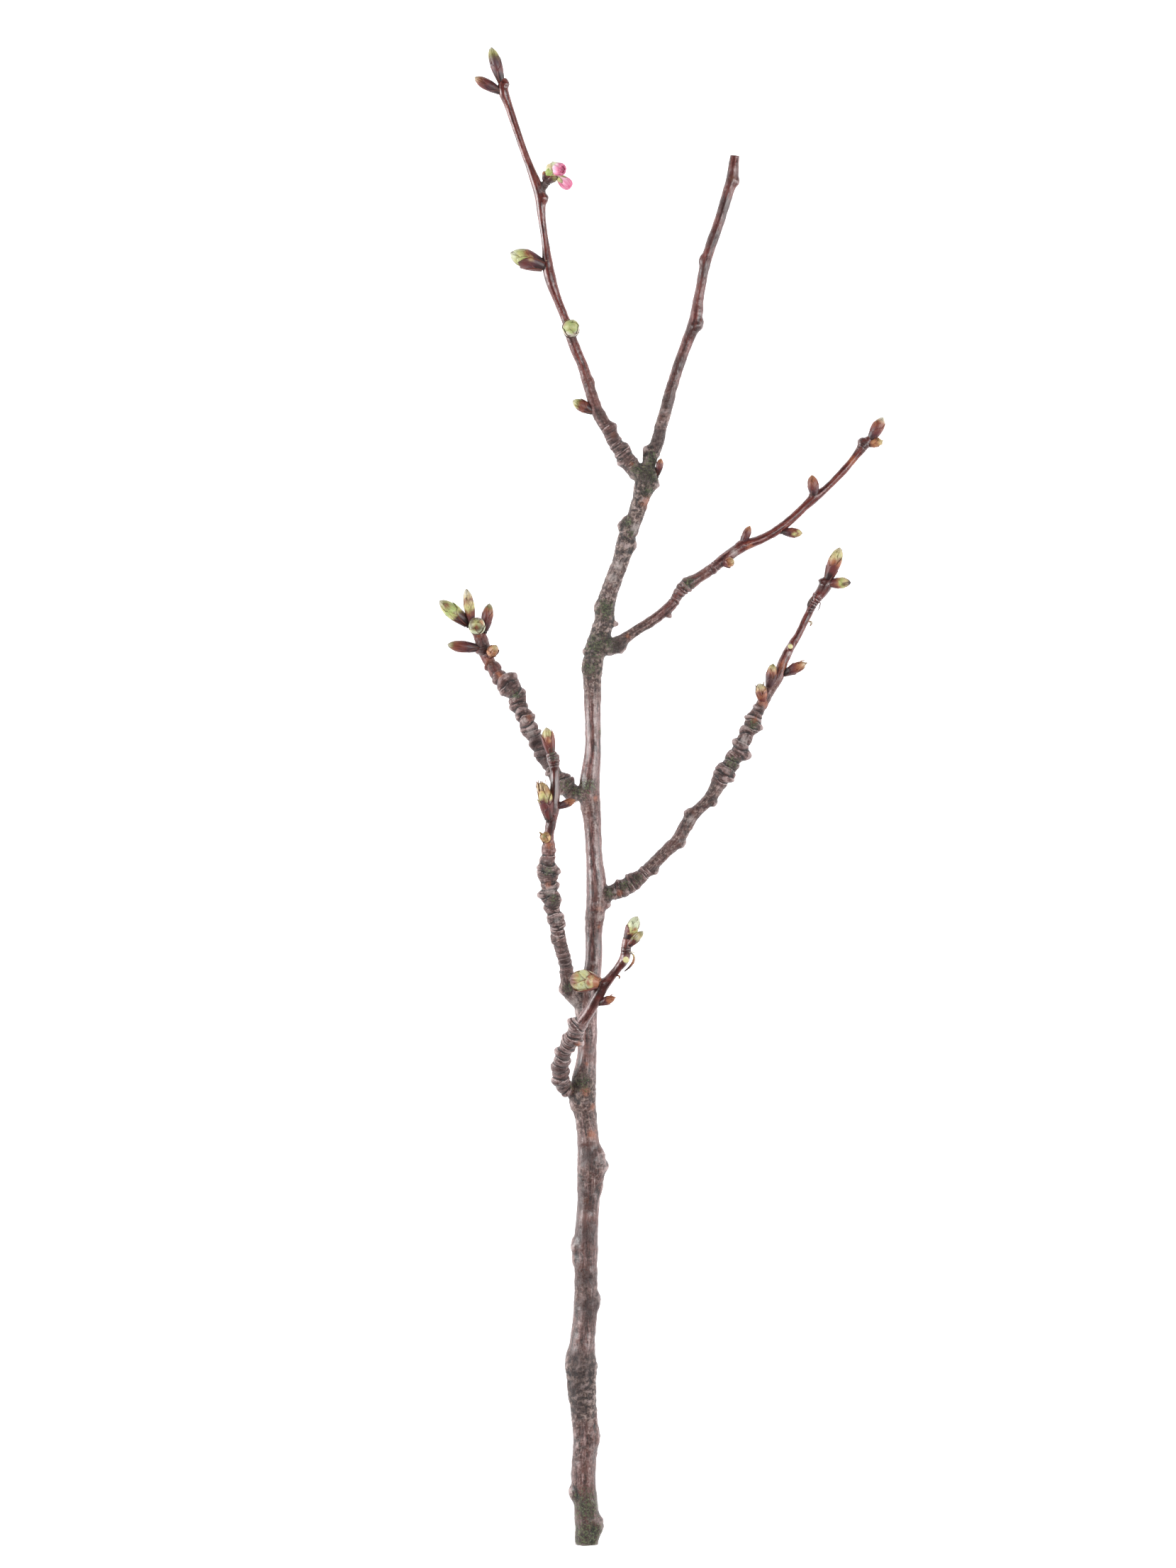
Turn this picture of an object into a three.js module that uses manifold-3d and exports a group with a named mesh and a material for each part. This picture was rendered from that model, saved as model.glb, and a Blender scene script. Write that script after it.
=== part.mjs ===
// A cut sprig of cherry, lying on its back on a flat surface: a woody stem with
// ringed spurs, thin young shoots and fat winter buds, and one blossom just opening.
//
// Lengths are millimetres, +Z is up. Every place is measured from the cut foot of
// the stem: x across the sprig, y along it towards the tips, z above the surface.
// A place on a limb is written [x, y, z, radius], and a knob [x, y, z, height, spread].

import * as THREE from 'three';
import { mergeVertices } from 'three/addons/utils/BufferGeometryUtils.js';
import Module from 'manifold-3d';

const wasm = await Module();
wasm.setup();

// Where the cut foot lies once the whole sprig is centred over the origin.
const CUT_FOOT = [-25.9, -263.1, 0];
// Distance between the raised rings that a slow spur keeps from its yearly scars,
// and how far they stand out, as a part of its radius. No two are quite alike.
const RING_PITCH = 2.8;
const RING_DEPTH = 0.12;
const RING_SPREAD = 0.6;
// Sides of the old stem and of the thinner shoots.
const STEM_SIDES = 9;
const SHOOT_SIDES = 7;
const STEM_STEP = 4.5;
const SHOOT_STEP = 3.6;
// How deep a bud's root is sunk into the wood.
const BUD_ROOT = 1.2;
// A bud's outline: [part of its length, part of its radius].
const BUD_OUTLINE = [
  [0.00, 0.58], [0.17, 0.86], [0.36, 1.0], [0.55, 0.93], [0.73, 0.68], [0.88, 0.36],
];
// How far a bud's scales stand out, as a part of its radius.
const SCALE_RELIEF = 0.07;
// A flower bud's outline, folded inwards at its end.
const FLOWER_OUTLINE = [
  [0, 0.35], [0.12, 0.68], [0.28, 0.92], [0.48, 1.0], [0.68, 0.96], [0.84, 0.78], [0.95, 0.5], [0.9, 0.26],
];
const DIMPLE = 0.78;
// Thickness of a bract or scale.
const BLADE = 0.7;

const vector = ([x, y, z]) => new THREE.Vector3(x, y, z);

// An even draw between 0 and 1 that is the same in every run.
function seeded(seed) {
  let state = seed;
  return () => {
    state = (state * 1664525 + 1013904223) % 4294967296;
    return state / 4294967296;
  };
}
const draw = seeded(7);

// ---------------------------------------------------------------- solids

// A closed skin over a row of loops, with a point that closes each end.
function skin(loops, start, end) {
  const sides = loops[0].length;
  const points = [start, ...loops.flat(), end];
  const faces = [];
  for (let side = 0; side < sides; side += 1) {
    const next = (side + 1) % sides;
    faces.push(0, 1 + next, 1 + side);
    for (let loop = 0; loop < loops.length - 1; loop += 1) {
      const low = 1 + loop * sides;
      const high = low + sides;
      faces.push(low + side, low + next, high + next, low + side, high + next, high + side);
    }
    const last = 1 + (loops.length - 1) * sides;
    faces.push(last + side, last + next, points.length - 1);
  }
  const geometry = new THREE.BufferGeometry().setFromPoints(points);
  geometry.setIndex(faces);
  return geometry;
}

function toSolid(geometry) {
  return new wasm.Manifold(new wasm.Mesh({
    numProp: 3,
    vertProperties: Float32Array.from(geometry.getAttribute('position').array),
    triVerts: Uint32Array.from(geometry.getIndex().array),
  }));
}

function toGeometry(solid) {
  const { vertProperties, triVerts } = solid.getMesh();
  const geometry = new THREE.BufferGeometry();
  geometry.setAttribute('position', new THREE.BufferAttribute(vertProperties, 3));
  geometry.setIndex(new THREE.BufferAttribute(triVerts, 1));
  return geometry;
}

const join = (solids) => solids.reduce((whole, piece) => whole.add(piece));

// ---------------------------------------------------------------- wood

// Distances along a limb where its loops stand, closer together over its rings.
function stations(length, step, ringed) {
  const at = [{ s: 0, ring: 0 }];
  let up = true;
  while (at[at.length - 1].s < length - 0.6 * step) {
    const { s } = at[at.length - 1];
    const rings = ringed.some(([from, to]) => s >= from && s < to);
    up = !up;
    const uneven = 1 + RING_SPREAD * (draw() - 0.5);
    at.push(rings
      ? { s: s + 0.5 * RING_PITCH * uneven, ring: up ? uneven ** 2 : -uneven }
      : { s: s + step, ring: 0 });
  }
  at[at.length - 1].s = length;
  return at;
}

// A limb follows its route through loops of changing radius. Over its ringed
// stretches, given as [from, to] along it, every other loop stands out, and each
// knob pushes the bark outwards round its place.
function limb({ route, sides = SHOOT_SIDES, step = SHOOT_STEP, ringed = [], knobs = [] }) {
  const curve = new THREE.CatmullRomCurve3(route.map(vector), false, 'centripetal');
  const length = curve.getLength();
  const normal = new THREE.Vector3(0, 0, 1);
  const loops = stations(length, step, ringed).map(({ s, ring }) => {
    const place = curve.getUtoTmapping(s / length) * (route.length - 1);
    const from = Math.min(Math.floor(place), route.length - 2);
    const radius = THREE.MathUtils.lerp(route[from][3], route[from + 1][3], place - from);
    const centre = curve.getPointAt(s / length);
    const tangent = curve.getTangentAt(s / length);
    normal.addScaledVector(tangent, -normal.dot(tangent)).normalize();
    const binormal = new THREE.Vector3().crossVectors(tangent, normal);
    return Array.from({ length: sides }, (_, side) => {
      const angle = (2 * Math.PI * side) / sides;
      const outward = new THREE.Vector3()
        .addScaledVector(normal, Math.cos(angle))
        .addScaledVector(binormal, Math.sin(angle));
      const bark = centre.clone().addScaledVector(outward, radius * (1 + RING_DEPTH * ring));
      const push = knobs.reduce((sum, knob) => {
        const away = bark.distanceToSquared(vector(knob)) / knob[4] ** 2;
        return sum + knob[3] * Math.exp(-away);
      }, 0);
      return bark.addScaledVector(outward, push);
    });
  });
  return toSolid(skin(loops, vector(route[0]), vector(route[route.length - 1])));
}

// The old stem, from the cut foot to the top fork.
const stem = limb({
  sides: STEM_SIDES,
  step: STEM_STEP,
  route: [
    [-0.5, 0, 4.1, 4.1], [-0.5, 7.5, 4.3, 4.5], [-1.0, 15, 4.7, 4.4], [-1.8, 24, 5.0, 4.4],
    [-1.2, 33, 5.2, 4.4], [-1.0, 41, 5.4, 4.5], [-2.0, 51, 5.7, 4.8], [-2.5, 62, 5.9, 4.9],
    [-1.8, 74, 6.2, 4.4], [-0.8, 85, 6.4, 4.3], [-1.0, 97, 6.6, 4.2], [-0.8, 108, 6.9, 4.2],
    [0.0, 119, 7.1, 4.0], [0.2, 133, 7.4, 4.1], [-0.2, 145, 7.7, 3.8], [-1.2, 154, 7.9, 4.1],
    [-2.0, 161, 8.0, 4.7], [-0.7, 169, 8.2, 3.7], [-0.3, 182, 8.5, 3.5], [-0.8, 192, 8.7, 4.1],
    [1.4, 202, 8.9, 3.2], [2.0, 218, 9.2, 3.2], [3.0, 229, 9.4, 3.8], [2.0, 244, 9.7, 3.1],
    [1.2, 257, 9.9, 3.2], [0.3, 265, 10.0, 3.8], [1.5, 279, 10.3, 2.9], [1.5, 297, 10.6, 3.0],
    [1.5, 309, 10.8, 3.5], [3.0, 317, 10.9, 4.0], [5.2, 325, 11.0, 3.6], [6.5, 333, 11.2, 3.3],
    [8.8, 340, 11.4, 3.1], [11.5, 347, 11.6, 3.0], [13.5, 355, 11.9, 3.2], [15.8, 361, 12.1, 3.0],
    [18.5, 369, 12.3, 3.0], [20.0, 375, 12.5, 3.9], [20.4, 380, 12.7, 3.6],
  ],
  knobs: [
    [5.0, 7, 4.5, 1.6, 5], [-6.2, 18, 5, 1.5, 4], [3.6, 39, 5, 0.9, 6], [-7.6, 65, 6, 0.9, 5],
    [3.4, 62, 6, 0.9, 5], [3.6, 86, 6.5, 1.1, 4], [-5.4, 106, 7, 1.2, 4], [4.5, 134, 7.5, 3.6, 6],
    [4.2, 126, 7.5, 1.0, 4], [6.8, 227, 9, 2.2, 3], [10.8, 359, 12, 2.0, 3], [16.0, 352, 12, 1.5, 3],
    [-2.2, 310, 11, 0.7, 4], [9.0, 325, 11, 0.9, 3], [-5.5, 156, 8, 1.0, 4], [22.8, 374, 12, 1.4, 3],
  ],
});

// The right arm of the top fork, cut off blunt at its end.
const rightArm = limb({
  route: [
    [20.2, 377, 12.6, 3.0], [22.2, 384, 12.2, 2.5], [24.0, 388, 12.0, 2.4], [25.8, 395, 11.8, 2.2],
    [27.2, 400, 11.7, 2.2], [29.3, 408, 11.8, 2.1], [32.2, 417, 12.0, 2.0], [35.2, 425, 12.4, 2.1],
    [37.2, 430, 12.7, 2.4], [39.3, 442, 13.3, 1.9], [41.5, 453, 14.0, 2.0], [45.7, 465, 14.8, 1.9],
    [49.0, 476, 15.4, 2.0], [50.4, 481, 15.7, 2.1], [51.2, 486.5, 16.0, 1.8], [51.5, 489, 16.1, 1.5],
  ],
  knobs: [
    [21.0, 386, 12, 1.2, 2.4], [40.0, 430, 13, 1.0, 3], [39.0, 453, 14, 0.7, 2.4], [52.6, 480, 16, 0.7, 2.4],
  ],
});

// The left arm of the top fork: a rough old foot, then a smooth young shoot.
const leftArm = limb({
  ringed: [[3, 21]],
  route: [
    [18.2, 377, 12.6, 3.3], [13.8, 382.5, 12.9, 3.0], [9.5, 388.5, 13.2, 2.5], [6.7, 393.5, 13.5, 2.4],
    [2.9, 400, 13.9, 2.3], [0.0, 409, 14.5, 2.0], [-2.0, 415.5, 14.9, 1.8], [-5.0, 422.5, 15.4, 2.0],
    [-7.9, 431.5, 16.0, 1.6], [-10.2, 437, 16.4, 1.55], [-13.7, 447.5, 17.1, 2.1], [-14.9, 457.5, 17.8, 1.4],
    [-16.3, 467.5, 18.5, 1.4], [-17.1, 475.5, 19.1, 2.0], [-19.7, 483, 19.6, 1.5], [-22.2, 489.5, 20, 1.3],
    [-25.4, 498.5, 20.7, 1.35], [-28.1, 506.5, 21.3, 1.5], [-29.8, 511.5, 21.7, 1.9], [-30.4, 515.5, 22, 1.2],
  ],
  knobs: [
    [13.5, 387, 13, 0.9, 2.4], [11.5, 381.5, 13, 0.9, 2.4], [8.7, 394, 13.5, 0.9, 2.4],
    [1.4, 410, 14.5, 0.5, 2.4], [-28.7, 514.2, 22, 1.1, 2.0], [-15.2, 474, 19, 1.1, 2.2],
  ],
});

// The upper right shoot: a rough stub at its foot, one cluster of rings, thin beyond.
const upperRightShoot = limb({
  ringed: [[30, 39]],
  route: [
    [4.0, 316.3, 10.9, 3.4], [8.0, 317, 10.9, 3.2], [10.5, 318, 10.8, 2.9], [13.0, 319.8, 10.8, 2.1],
    [16.5, 322.3, 10.7, 1.8], [21.3, 325.3, 10.5, 1.9], [27.3, 329.8, 10.2, 1.95], [30.0, 332.5, 10.1, 1.9],
    [32.5, 336.5, 9.9, 2.2], [35.5, 339, 9.8, 2.5], [38.3, 340.8, 9.6, 2.0], [43.8, 344.5, 9.3, 2.0],
    [48.8, 348.5, 9.0, 1.95], [54.0, 352, 8.7, 2.0], [62.5, 355.5, 8.1, 1.6], [67.0, 358.3, 7.8, 1.65],
    [71.5, 361.8, 7.5, 1.5], [75.8, 365.8, 7.1, 1.45], [79.8, 369.5, 6.8, 1.75], [83.3, 372.3, 6.5, 1.4],
    [90.0, 379, 6.0, 1.3], [94.5, 384.3, 5.6, 1.4], [97.3, 388, 5.4, 1.9], [99.8, 390.8, 5.3, 1.2],
  ],
  knobs: [
    [28.2, 328.2, 10, 0.8, 2.2], [12.3, 315.5, 10.5, 0.9, 2.2], [96.4, 389.6, 5.5, 0.9, 2.0],
  ],
});

// The lower right shoot: old and knobbly for half its length, thin beyond.
const lowerRightShoot = limb({
  ringed: [[4, 20], [58, 90]],
  route: [
    [4.0, 229.5, 9.4, 3.0], [7.0, 230, 9.5, 2.8], [10.5, 230.8, 9.5, 2.8], [15.3, 233.3, 9.5, 2.9],
    [18.3, 235.8, 9.4, 2.5], [23.5, 240.8, 9.1, 2.2], [27.5, 244.8, 8.8, 2.2], [31.3, 248.5, 8.5, 2.3],
    [34.0, 253, 8.2, 2.25], [36.8, 257.5, 7.9, 2.4], [40.0, 260.5, 7.6, 2.1], [43.3, 263.8, 7.3, 2.3],
    [45.8, 268, 7.0, 2.6], [48.3, 272.3, 6.7, 2.9], [50.5, 276.3, 6.4, 2.7], [53.0, 279.5, 6.1, 3.1],
    [55.0, 284.3, 5.7, 2.5], [57.8, 289.5, 5.3, 2.7], [59.5, 293.3, 5.0, 2.4], [61.5, 296.8, 4.7, 2.0],
    [64.0, 301.5, 4.3, 2.0], [67.0, 306.3, 3.9, 2.0], [69.3, 312.5, 3.4, 1.65], [71.3, 316.5, 3.1, 1.65],
    [74.0, 320.8, 2.7, 1.3], [77.0, 326.8, 2.2, 1.3], [80.0, 332.8, 1.8, 1.5], [82.3, 336, 1.6, 2.0],
    [84.3, 339.5, 1.7, 2.2], [85.0, 342, 2.1, 1.3],
  ],
  knobs: [
    [14.3, 236, 9.5, 0.9, 2.4], [10.5, 234, 9.5, 0.8, 2.2], [23.5, 237.8, 9, 1.0, 2.2],
    [33.0, 247.3, 8.5, 1.0, 2.2], [35.3, 258.5, 8, 0.8, 2.2], [44.7, 261.5, 7.5, 1.1, 2.0],
    [45.3, 272.8, 7, 1.1, 2.2], [51.4, 270.7, 6.5, 1.2, 2.4], [56.2, 278.5, 6, 1.3, 2.4],
    [53.0, 283, 6, 0.8, 2.2], [60.6, 288, 5, 1.1, 2.2], [57.0, 292, 5.5, 0.9, 2.2],
    [82.3, 340.3, 2.5, 0.8, 1.8],
  ],
});

// The upper left spur: stout, ringed from end to end, and crowned with buds.
const upperLeftSpur = limb({
  step: 2.4,
  ringed: [[4, 60]],
  route: [
    [-0.5, 265, 10.0, 3.3], [-4.5, 265.5, 9.7, 2.9], [-7.5, 267, 9.4, 3.3], [-10.0, 269.5, 9.0, 3.1],
    [-12.5, 273, 8.5, 2.6], [-15.3, 278, 7.8, 2.6], [-18.3, 283.8, 7.1, 2.6], [-20.5, 288, 6.6, 2.6],
    [-22.8, 292.3, 6.0, 2.5], [-24.5, 297.5, 5.3, 2.8], [-26.5, 301.5, 4.7, 3.1], [-29.5, 304.8, 4.1, 3.1],
    [-32.8, 308, 3.3, 2.6], [-35.0, 312, 2.6, 2.4], [-37.0, 316.3, 2.1, 2.6], [-38.3, 320.8, 2.4, 2.3],
    [-40.0, 324, 3.0, 2.1], [-41.8, 326, 3.6, 1.7],
  ],
  knobs: [
    [-6.8, 270, 9, 1.1, 2.4], [-19.5, 293, 6.5, 1.0, 2.2], [-22.0, 302, 5, 1.1, 2.2],
    [-26.0, 306, 4.5, 1.0, 2.2], [-19.0, 277, 8, 1.0, 2.4], [-23.5, 287, 6.5, 1.1, 2.2],
    [-26.5, 296, 5.5, 0.9, 2.2], [-30.8, 301.5, 4.5, 1.2, 2.4],
  ],
});

// The middle left spur: it rises off the stem and passes over the upper left one.
const middleLeftSpur = limb({
  step: 2.4,
  ringed: [[14, 62]],
  route: [
    [-2.8, 192, 9.0, 3.4], [-6.0, 195.5, 11.0, 2.9], [-7.3, 200, 13.2, 2.6], [-8.0, 205.5, 15.4, 2.4],
    [-9.5, 211.5, 17.4, 2.35], [-11.0, 218, 19.4, 2.35], [-12.0, 223.5, 20.8, 2.4], [-13.2, 228.5, 22.0, 2.8],
    [-13.9, 235.5, 23.4, 3.0], [-14.1, 239, 24.0, 3.0], [-13.9, 243.3, 24.7, 2.4], [-13.8, 246, 25.1, 2.5],
    [-13.8, 249.3, 25.5, 1.8], [-13.1, 255, 26.2, 1.9], [-12.3, 260, 26.6, 2.1], [-11.7, 268.8, 27.0, 1.55],
    [-11.8, 273.5, 27.1, 1.5], [-12.3, 277.5, 27.2, 2.2], [-13.1, 279.5, 27.2, 1.6],
  ],
  knobs: [
    [-8.2, 196.5, 12, 1.2, 2.6], [-12.0, 214, 18, 0.8, 2.2], [-14.5, 221, 20.5, 0.9, 2.2],
    [-9.0, 220, 20.5, 0.9, 2.2], [-16.3, 229, 22.5, 1.1, 2.4], [-10.2, 229, 22.5, 1.0, 2.4],
    [-17.2, 239, 24, 1.1, 2.4], [-10.4, 237.5, 24, 1.1, 2.4],
  ],
});

// The lower left spur: a tight stack of rings that curls up off the stem, then a
// young shoot that crosses over in front of it.
const curledSpur = limb({
  step: 2.4,
  ringed: [[4, 36]],
  route: [
    [-2.0, 161, 8.0, 3.2], [-5.5, 160.5, 8.8, 2.7], [-8.2, 161.5, 10.6, 2.8], [-9.6, 164.8, 13.4, 2.9],
    [-9.8, 168.8, 16.2, 2.9], [-9.1, 172.8, 19.0, 2.8], [-7.4, 176.5, 21.6, 2.75], [-5.4, 179.8, 24.0, 2.75],
    [-3.9, 183.2, 26.0, 2.8], [-2.3, 185.5, 27.4, 2.3], [-0.5, 188, 28.6, 2.1], [1.8, 191.8, 30.0, 2.0],
    [4.2, 196.6, 31.2, 2.1], [6.6, 200.5, 32.0, 1.75], [9.3, 204.7, 32.8, 1.6], [11.5, 208.4, 33.4, 1.8],
    [12.7, 211.8, 34.0, 1.7], [13.5, 214.8, 34.4, 1.5],
  ],
  knobs: [
    [-7.9, 179, 21, 1.0, 2.4], [-4.9, 185, 26, 1.1, 2.4],
    [-3.0, 178, 24, 1.3, 2.6], [4.6, 199.2, 32, 0.8, 2.0],
  ],
});

// The short spur that carries the blossom widens to a blunt seat.
const blossomSpur = limb({
  step: 1.2,
  route: [
    [-17.0, 475.8, 19.1, 1.6], [-15.8, 477.6, 19.5, 1.25],
    [-14.9, 479.1, 19.8, 1.5], [-13.6, 480.8, 20.2, 2.0],
  ],
});

// ---------------------------------------------------------------- buds

// A bud tapers from its root to its tip, and its scales overlap in staggered rows:
// round each loop every other corner stands out, and the next loop swaps them.
function bud([x0, y0, z0], [x1, y1, z1], radius, sides = 8) {
  const base = new THREE.Vector3(x0, y0, z0);
  const tip = new THREE.Vector3(x1, y1, z1);
  const axis = tip.clone().sub(base);
  const length = axis.length();
  axis.normalize();
  const root = base.clone().addScaledVector(axis, -BUD_ROOT);
  const normal = new THREE.Vector3(0, 0, 1).addScaledVector(axis, -axis.z);
  if (normal.length() < 0.3) normal.set(0, 1, 0).addScaledVector(axis, -axis.y);
  normal.normalize();
  const binormal = new THREE.Vector3().crossVectors(axis, normal);
  const ring = (centre, size, turn) => Array.from({ length: sides }, (_, side) => {
    const relief = 1 + SCALE_RELIEF * ((side + turn) % 2 ? -1 : 1);
    const angle = (2 * Math.PI * side) / sides;
    return centre.clone()
      .addScaledVector(normal, size * relief * Math.cos(angle))
      .addScaledVector(binormal, size * relief * Math.sin(angle));
  });
  const loops = [ring(root, 0.5 * radius, 0)];
  BUD_OUTLINE.forEach(([along, wide], row) => {
    loops.push(ring(base.clone().addScaledVector(axis, along * length), wide * radius, row));
  });
  return toSolid(skin(loops, root, tip));
}

const buds = [
  // left arm of the top fork, from its tip down
  bud([-30.5, 514.5, 22.0], [-34.1, 526.4, 23.0], 2.1),
  bud([-31.0, 511.0, 21.8], [-39.9, 515.8, 22.5], 2.0),
  bud([-15.5, 449.0, 17.4], [-26.0, 453.8, 18.5], 3.3),
  bud([-6.0, 426.5, 16.2], [-6.2, 429.8, 23.5], 3.1),
  bud([1.5, 399.5, 14.1], [-5.5, 403.3, 15.0], 2.1),
  // foot of the right arm
  bud([24.6, 377.8, 13.0], [26.0, 383.5, 14.5], 1.5, 6),
  // upper right shoot, from its tip down
  bud([99.8, 390.2, 5.3], [104.1, 398.0, 6.0], 2.2),
  bud([98.8, 388.4, 5.4], [104.0, 389.5, 5.9], 1.6, 6),
  bud([79.8, 370.0, 7.2], [78.8, 377.5, 8.5], 2.0),
  bud([68.8, 357.4, 7.9], [75.5, 356.8, 8.4], 1.75, 6),
  bud([54.2, 353.0, 9.0], [57.0, 359.5, 10.0], 1.5, 6),
  bud([47.6, 346.2, 9.8], [51.2, 346.9, 12.6], 1.9, 6),
  // lower right shoot, from its tip down
  bud([84.8, 341.0, 2.3], [89.0, 352.1, 5.0], 2.4),
  bud([85.6, 339.4, 2.3], [92.8, 339.8, 3.6], 2.0),
  bud([69.2, 307.4, 4.2], [77.0, 311.3, 6.0], 1.8),
  bud([64.0, 302.5, 4.8], [65.2, 311.0, 7.6], 1.9),
  bud([61.8, 297.2, 5.0], [60.5, 304.0, 8.0], 2.0),
  // crown of the upper left spur
  bud([-42.8, 325.3, 3.9], [-52.5, 333.3, 6.0], 2.6),
  bud([-41.2, 325.5, 4.4], [-43.0, 337.5, 8.0], 1.9),
  bud([-36.6, 323.0, 3.4], [-34.8, 332.3, 4.4], 2.0),
  bud([-39.2, 323.0, 4.4], [-39.4, 325.2, 12.5], 2.9),
  bud([-38.8, 316.5, 2.9], [-49.8, 317.6, 3.8], 2.1),
  bud([-35.0, 313.8, 3.6], [-32.6, 317.0, 8.4], 2.0, 6),
  // middle left spur, from its tip down
  bud([-13.0, 279.0, 27.2], [-14.7, 288.4, 28.6], 2.1),
  bud([-13.7, 256.5, 27.2], [-16.2, 269.3, 29.0], 2.5),
  bud([-11.4, 260.2, 26.7], [-4.4, 263.0, 28.0], 1.4, 6),
  bud([-14.3, 249.2, 26.2], [-15.5, 250.4, 30.6], 1.9, 6),
  // shoot of the curled spur, from its tip down
  bud([13.5, 214.6, 34.4], [17.2, 222.6, 35.6], 2.2),
  bud([13.1, 211.8, 34.3], [19.2, 217.3, 36.0], 1.6, 6),
  bud([3.6, 192.0, 30.4], [9.3, 194.0, 31.6], 1.55, 6),
  bud([4.0, 199.4, 32.0], [-6.6, 202.3, 33.6], 3.6),
];

// ---------------------------------------------------------------- blossom

// A bract, scale or petal: a blade as long as the way from its root to its tip,
// bellied out by its bow and folded round its length by its cup. Both of its
// faces have the same grid, a blade's thickness apart.
function blade(root, tip, { outward, width, bow, cup }) {
  const from = vector(root);
  const along = vector(tip).sub(from);
  const out = vector(outward);
  out.addScaledVector(along, -out.dot(along) / along.lengthSq()).normalize();
  const side = new THREE.Vector3().crossVectors(along, out).normalize();
  const rows = 5;
  const columns = 4;
  const half = BLADE / 2;
  const loops = [];
  for (let row = 0; row <= rows; row += 1) {
    const t = row / rows;
    const reach = 0.5 * width * (0.45 + 1.5 * t * (1.4 - t) - 0.85 * t ** 3);
    const front = [];
    const back = [];
    for (let column = 0; column <= columns; column += 1) {
      const across = (2 * column) / columns - 1;
      const height = bow * Math.sin(Math.PI * t) - cup * across ** 2;
      const place = from.clone().addScaledVector(along, t).addScaledVector(side, reach * across);
      front.push(place.clone().addScaledVector(out, height + half));
      back.unshift(place.clone().addScaledVector(out, height - half));
    }
    loops.push([...front, ...back]);
  }
  const middle = (loop) => loop.reduce((sum, p) => sum.add(p), new THREE.Vector3()).divideScalar(loop.length);
  return toSolid(skin(loops, middle(loops[0]), middle(loops[rows])));
}

// Two brown outer scales stay on the wood: one under the bracts, one beside them.
const cupScales = [
  blade([-14.2, 479.3, 19.6], [-10.4, 479.9, 19.8], { outward: [0.3, -1, 0], width: 3.6, bow: 0.3, cup: 0.4 }),
  blade([-15.0, 480.2, 20.1], [-15.5, 484, 21.6], { outward: [-1, 0, 0.2], width: 3.0, bow: 0.3, cup: 0.3 }),
];

// Pale green bracts stand in the seat and fold round the upper flower bud, and a
// short stalk leaves them for the lower one.
const bractRoot = [-12.9, 481.7, 20.7];
const bracts = join([
  limb({
    step: 0.9,
    route: [[-13.1, 481.4, 20.6, 1.2], [-12.4, 482.2, 21.0, 1.6], [-11.7, 482.9, 21.3, 1.0]],
  }),
  limb({
    step: 1.2,
    route: [[-12.4, 481.9, 20.9, 0.7], [-11.3, 481.4, 21.0, 0.55], [-10.5, 480.9, 20.9, 0.5]],
  }),
  blade(bractRoot, [-12.3, 486.6, 22.0], { outward: [-1, 0.1, 0.2], width: 3.6, bow: 0.7, cup: 0.4 }),
  blade(bractRoot, [-10.4, 486.9, 20.8], { outward: [-0.4, 0.6, -0.9], width: 3.4, bow: 0.5, cup: 0.4 }),
  blade(bractRoot, [-12.6, 484.6, 24.2], { outward: [-1, -0.2, 0.5], width: 3.2, bow: 0.6, cup: 0.4 }),
  blade(bractRoot, [-9.9, 482.1, 20.0], { outward: [0.1, -0.8, -0.6], width: 2.6, bow: 0.3, cup: 0.3 }),
]);

// A flower bud of folded petals. Five petals wrap one over the next, so five
// ridges wind along it, and its end is drawn in round a small dimple.
function flowerBud(root, tip, radius) {
  const base = vector(root);
  const axis = vector(tip).sub(base);
  const length = axis.length();
  axis.normalize();
  const normal = new THREE.Vector3(0, 0, 1).addScaledVector(axis, -axis.z).normalize();
  const binormal = new THREE.Vector3().crossVectors(axis, normal);
  const petals = 5;
  const sides = 3 * petals;
  const loops = FLOWER_OUTLINE.map(([along, wide]) => Array.from({ length: sides }, (_, side) => {
    const lap = (side % 3) / 2;
    const angle = (2 * Math.PI * side) / sides + 0.9 * along;
    const size = radius * wide * (1.04 - 0.14 * lap);
    return base.clone()
      .addScaledVector(axis, along * length)
      .addScaledVector(normal, size * Math.cos(angle))
      .addScaledVector(binormal, size * Math.sin(angle));
  }));
  const dimple = base.clone().addScaledVector(axis, DIMPLE * length);
  return toSolid(skin(loops, base, dimple));
}

// ---------------------------------------------------------------- the sprig

// The wood and its buds grew as one piece. It rests on three low places, the cut
// foot and the ends of two shoots, and each is pressed flat by the surface below.
const surface = new THREE.BoxGeometry(400, 800, 20);
surface.translate(0, 260, -10);
surface.deleteAttribute('normal');
surface.deleteAttribute('uv');
const wood = join([
  stem, rightArm, leftArm, upperRightShoot, lowerRightShoot, upperLeftSpur, middleLeftSpur,
  curledSpur, blossomSpur, ...cupScales, ...buds,
]).subtract(toSolid(mergeVertices(surface)));

const bark = new THREE.MeshStandardMaterial({ color: 0x6b5248, roughness: 0.75, metalness: 0 });
const paleGreen = new THREE.MeshStandardMaterial({ color: 0xbccb86, roughness: 0.55, metalness: 0 });
const pink = new THREE.MeshStandardMaterial({ color: 0xe07aa6, roughness: 0.5, metalness: 0 });

function named(name, solid, material) {
  const mesh = new THREE.Mesh(toGeometry(solid), material);
  mesh.name = name;
  return mesh;
}

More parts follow.
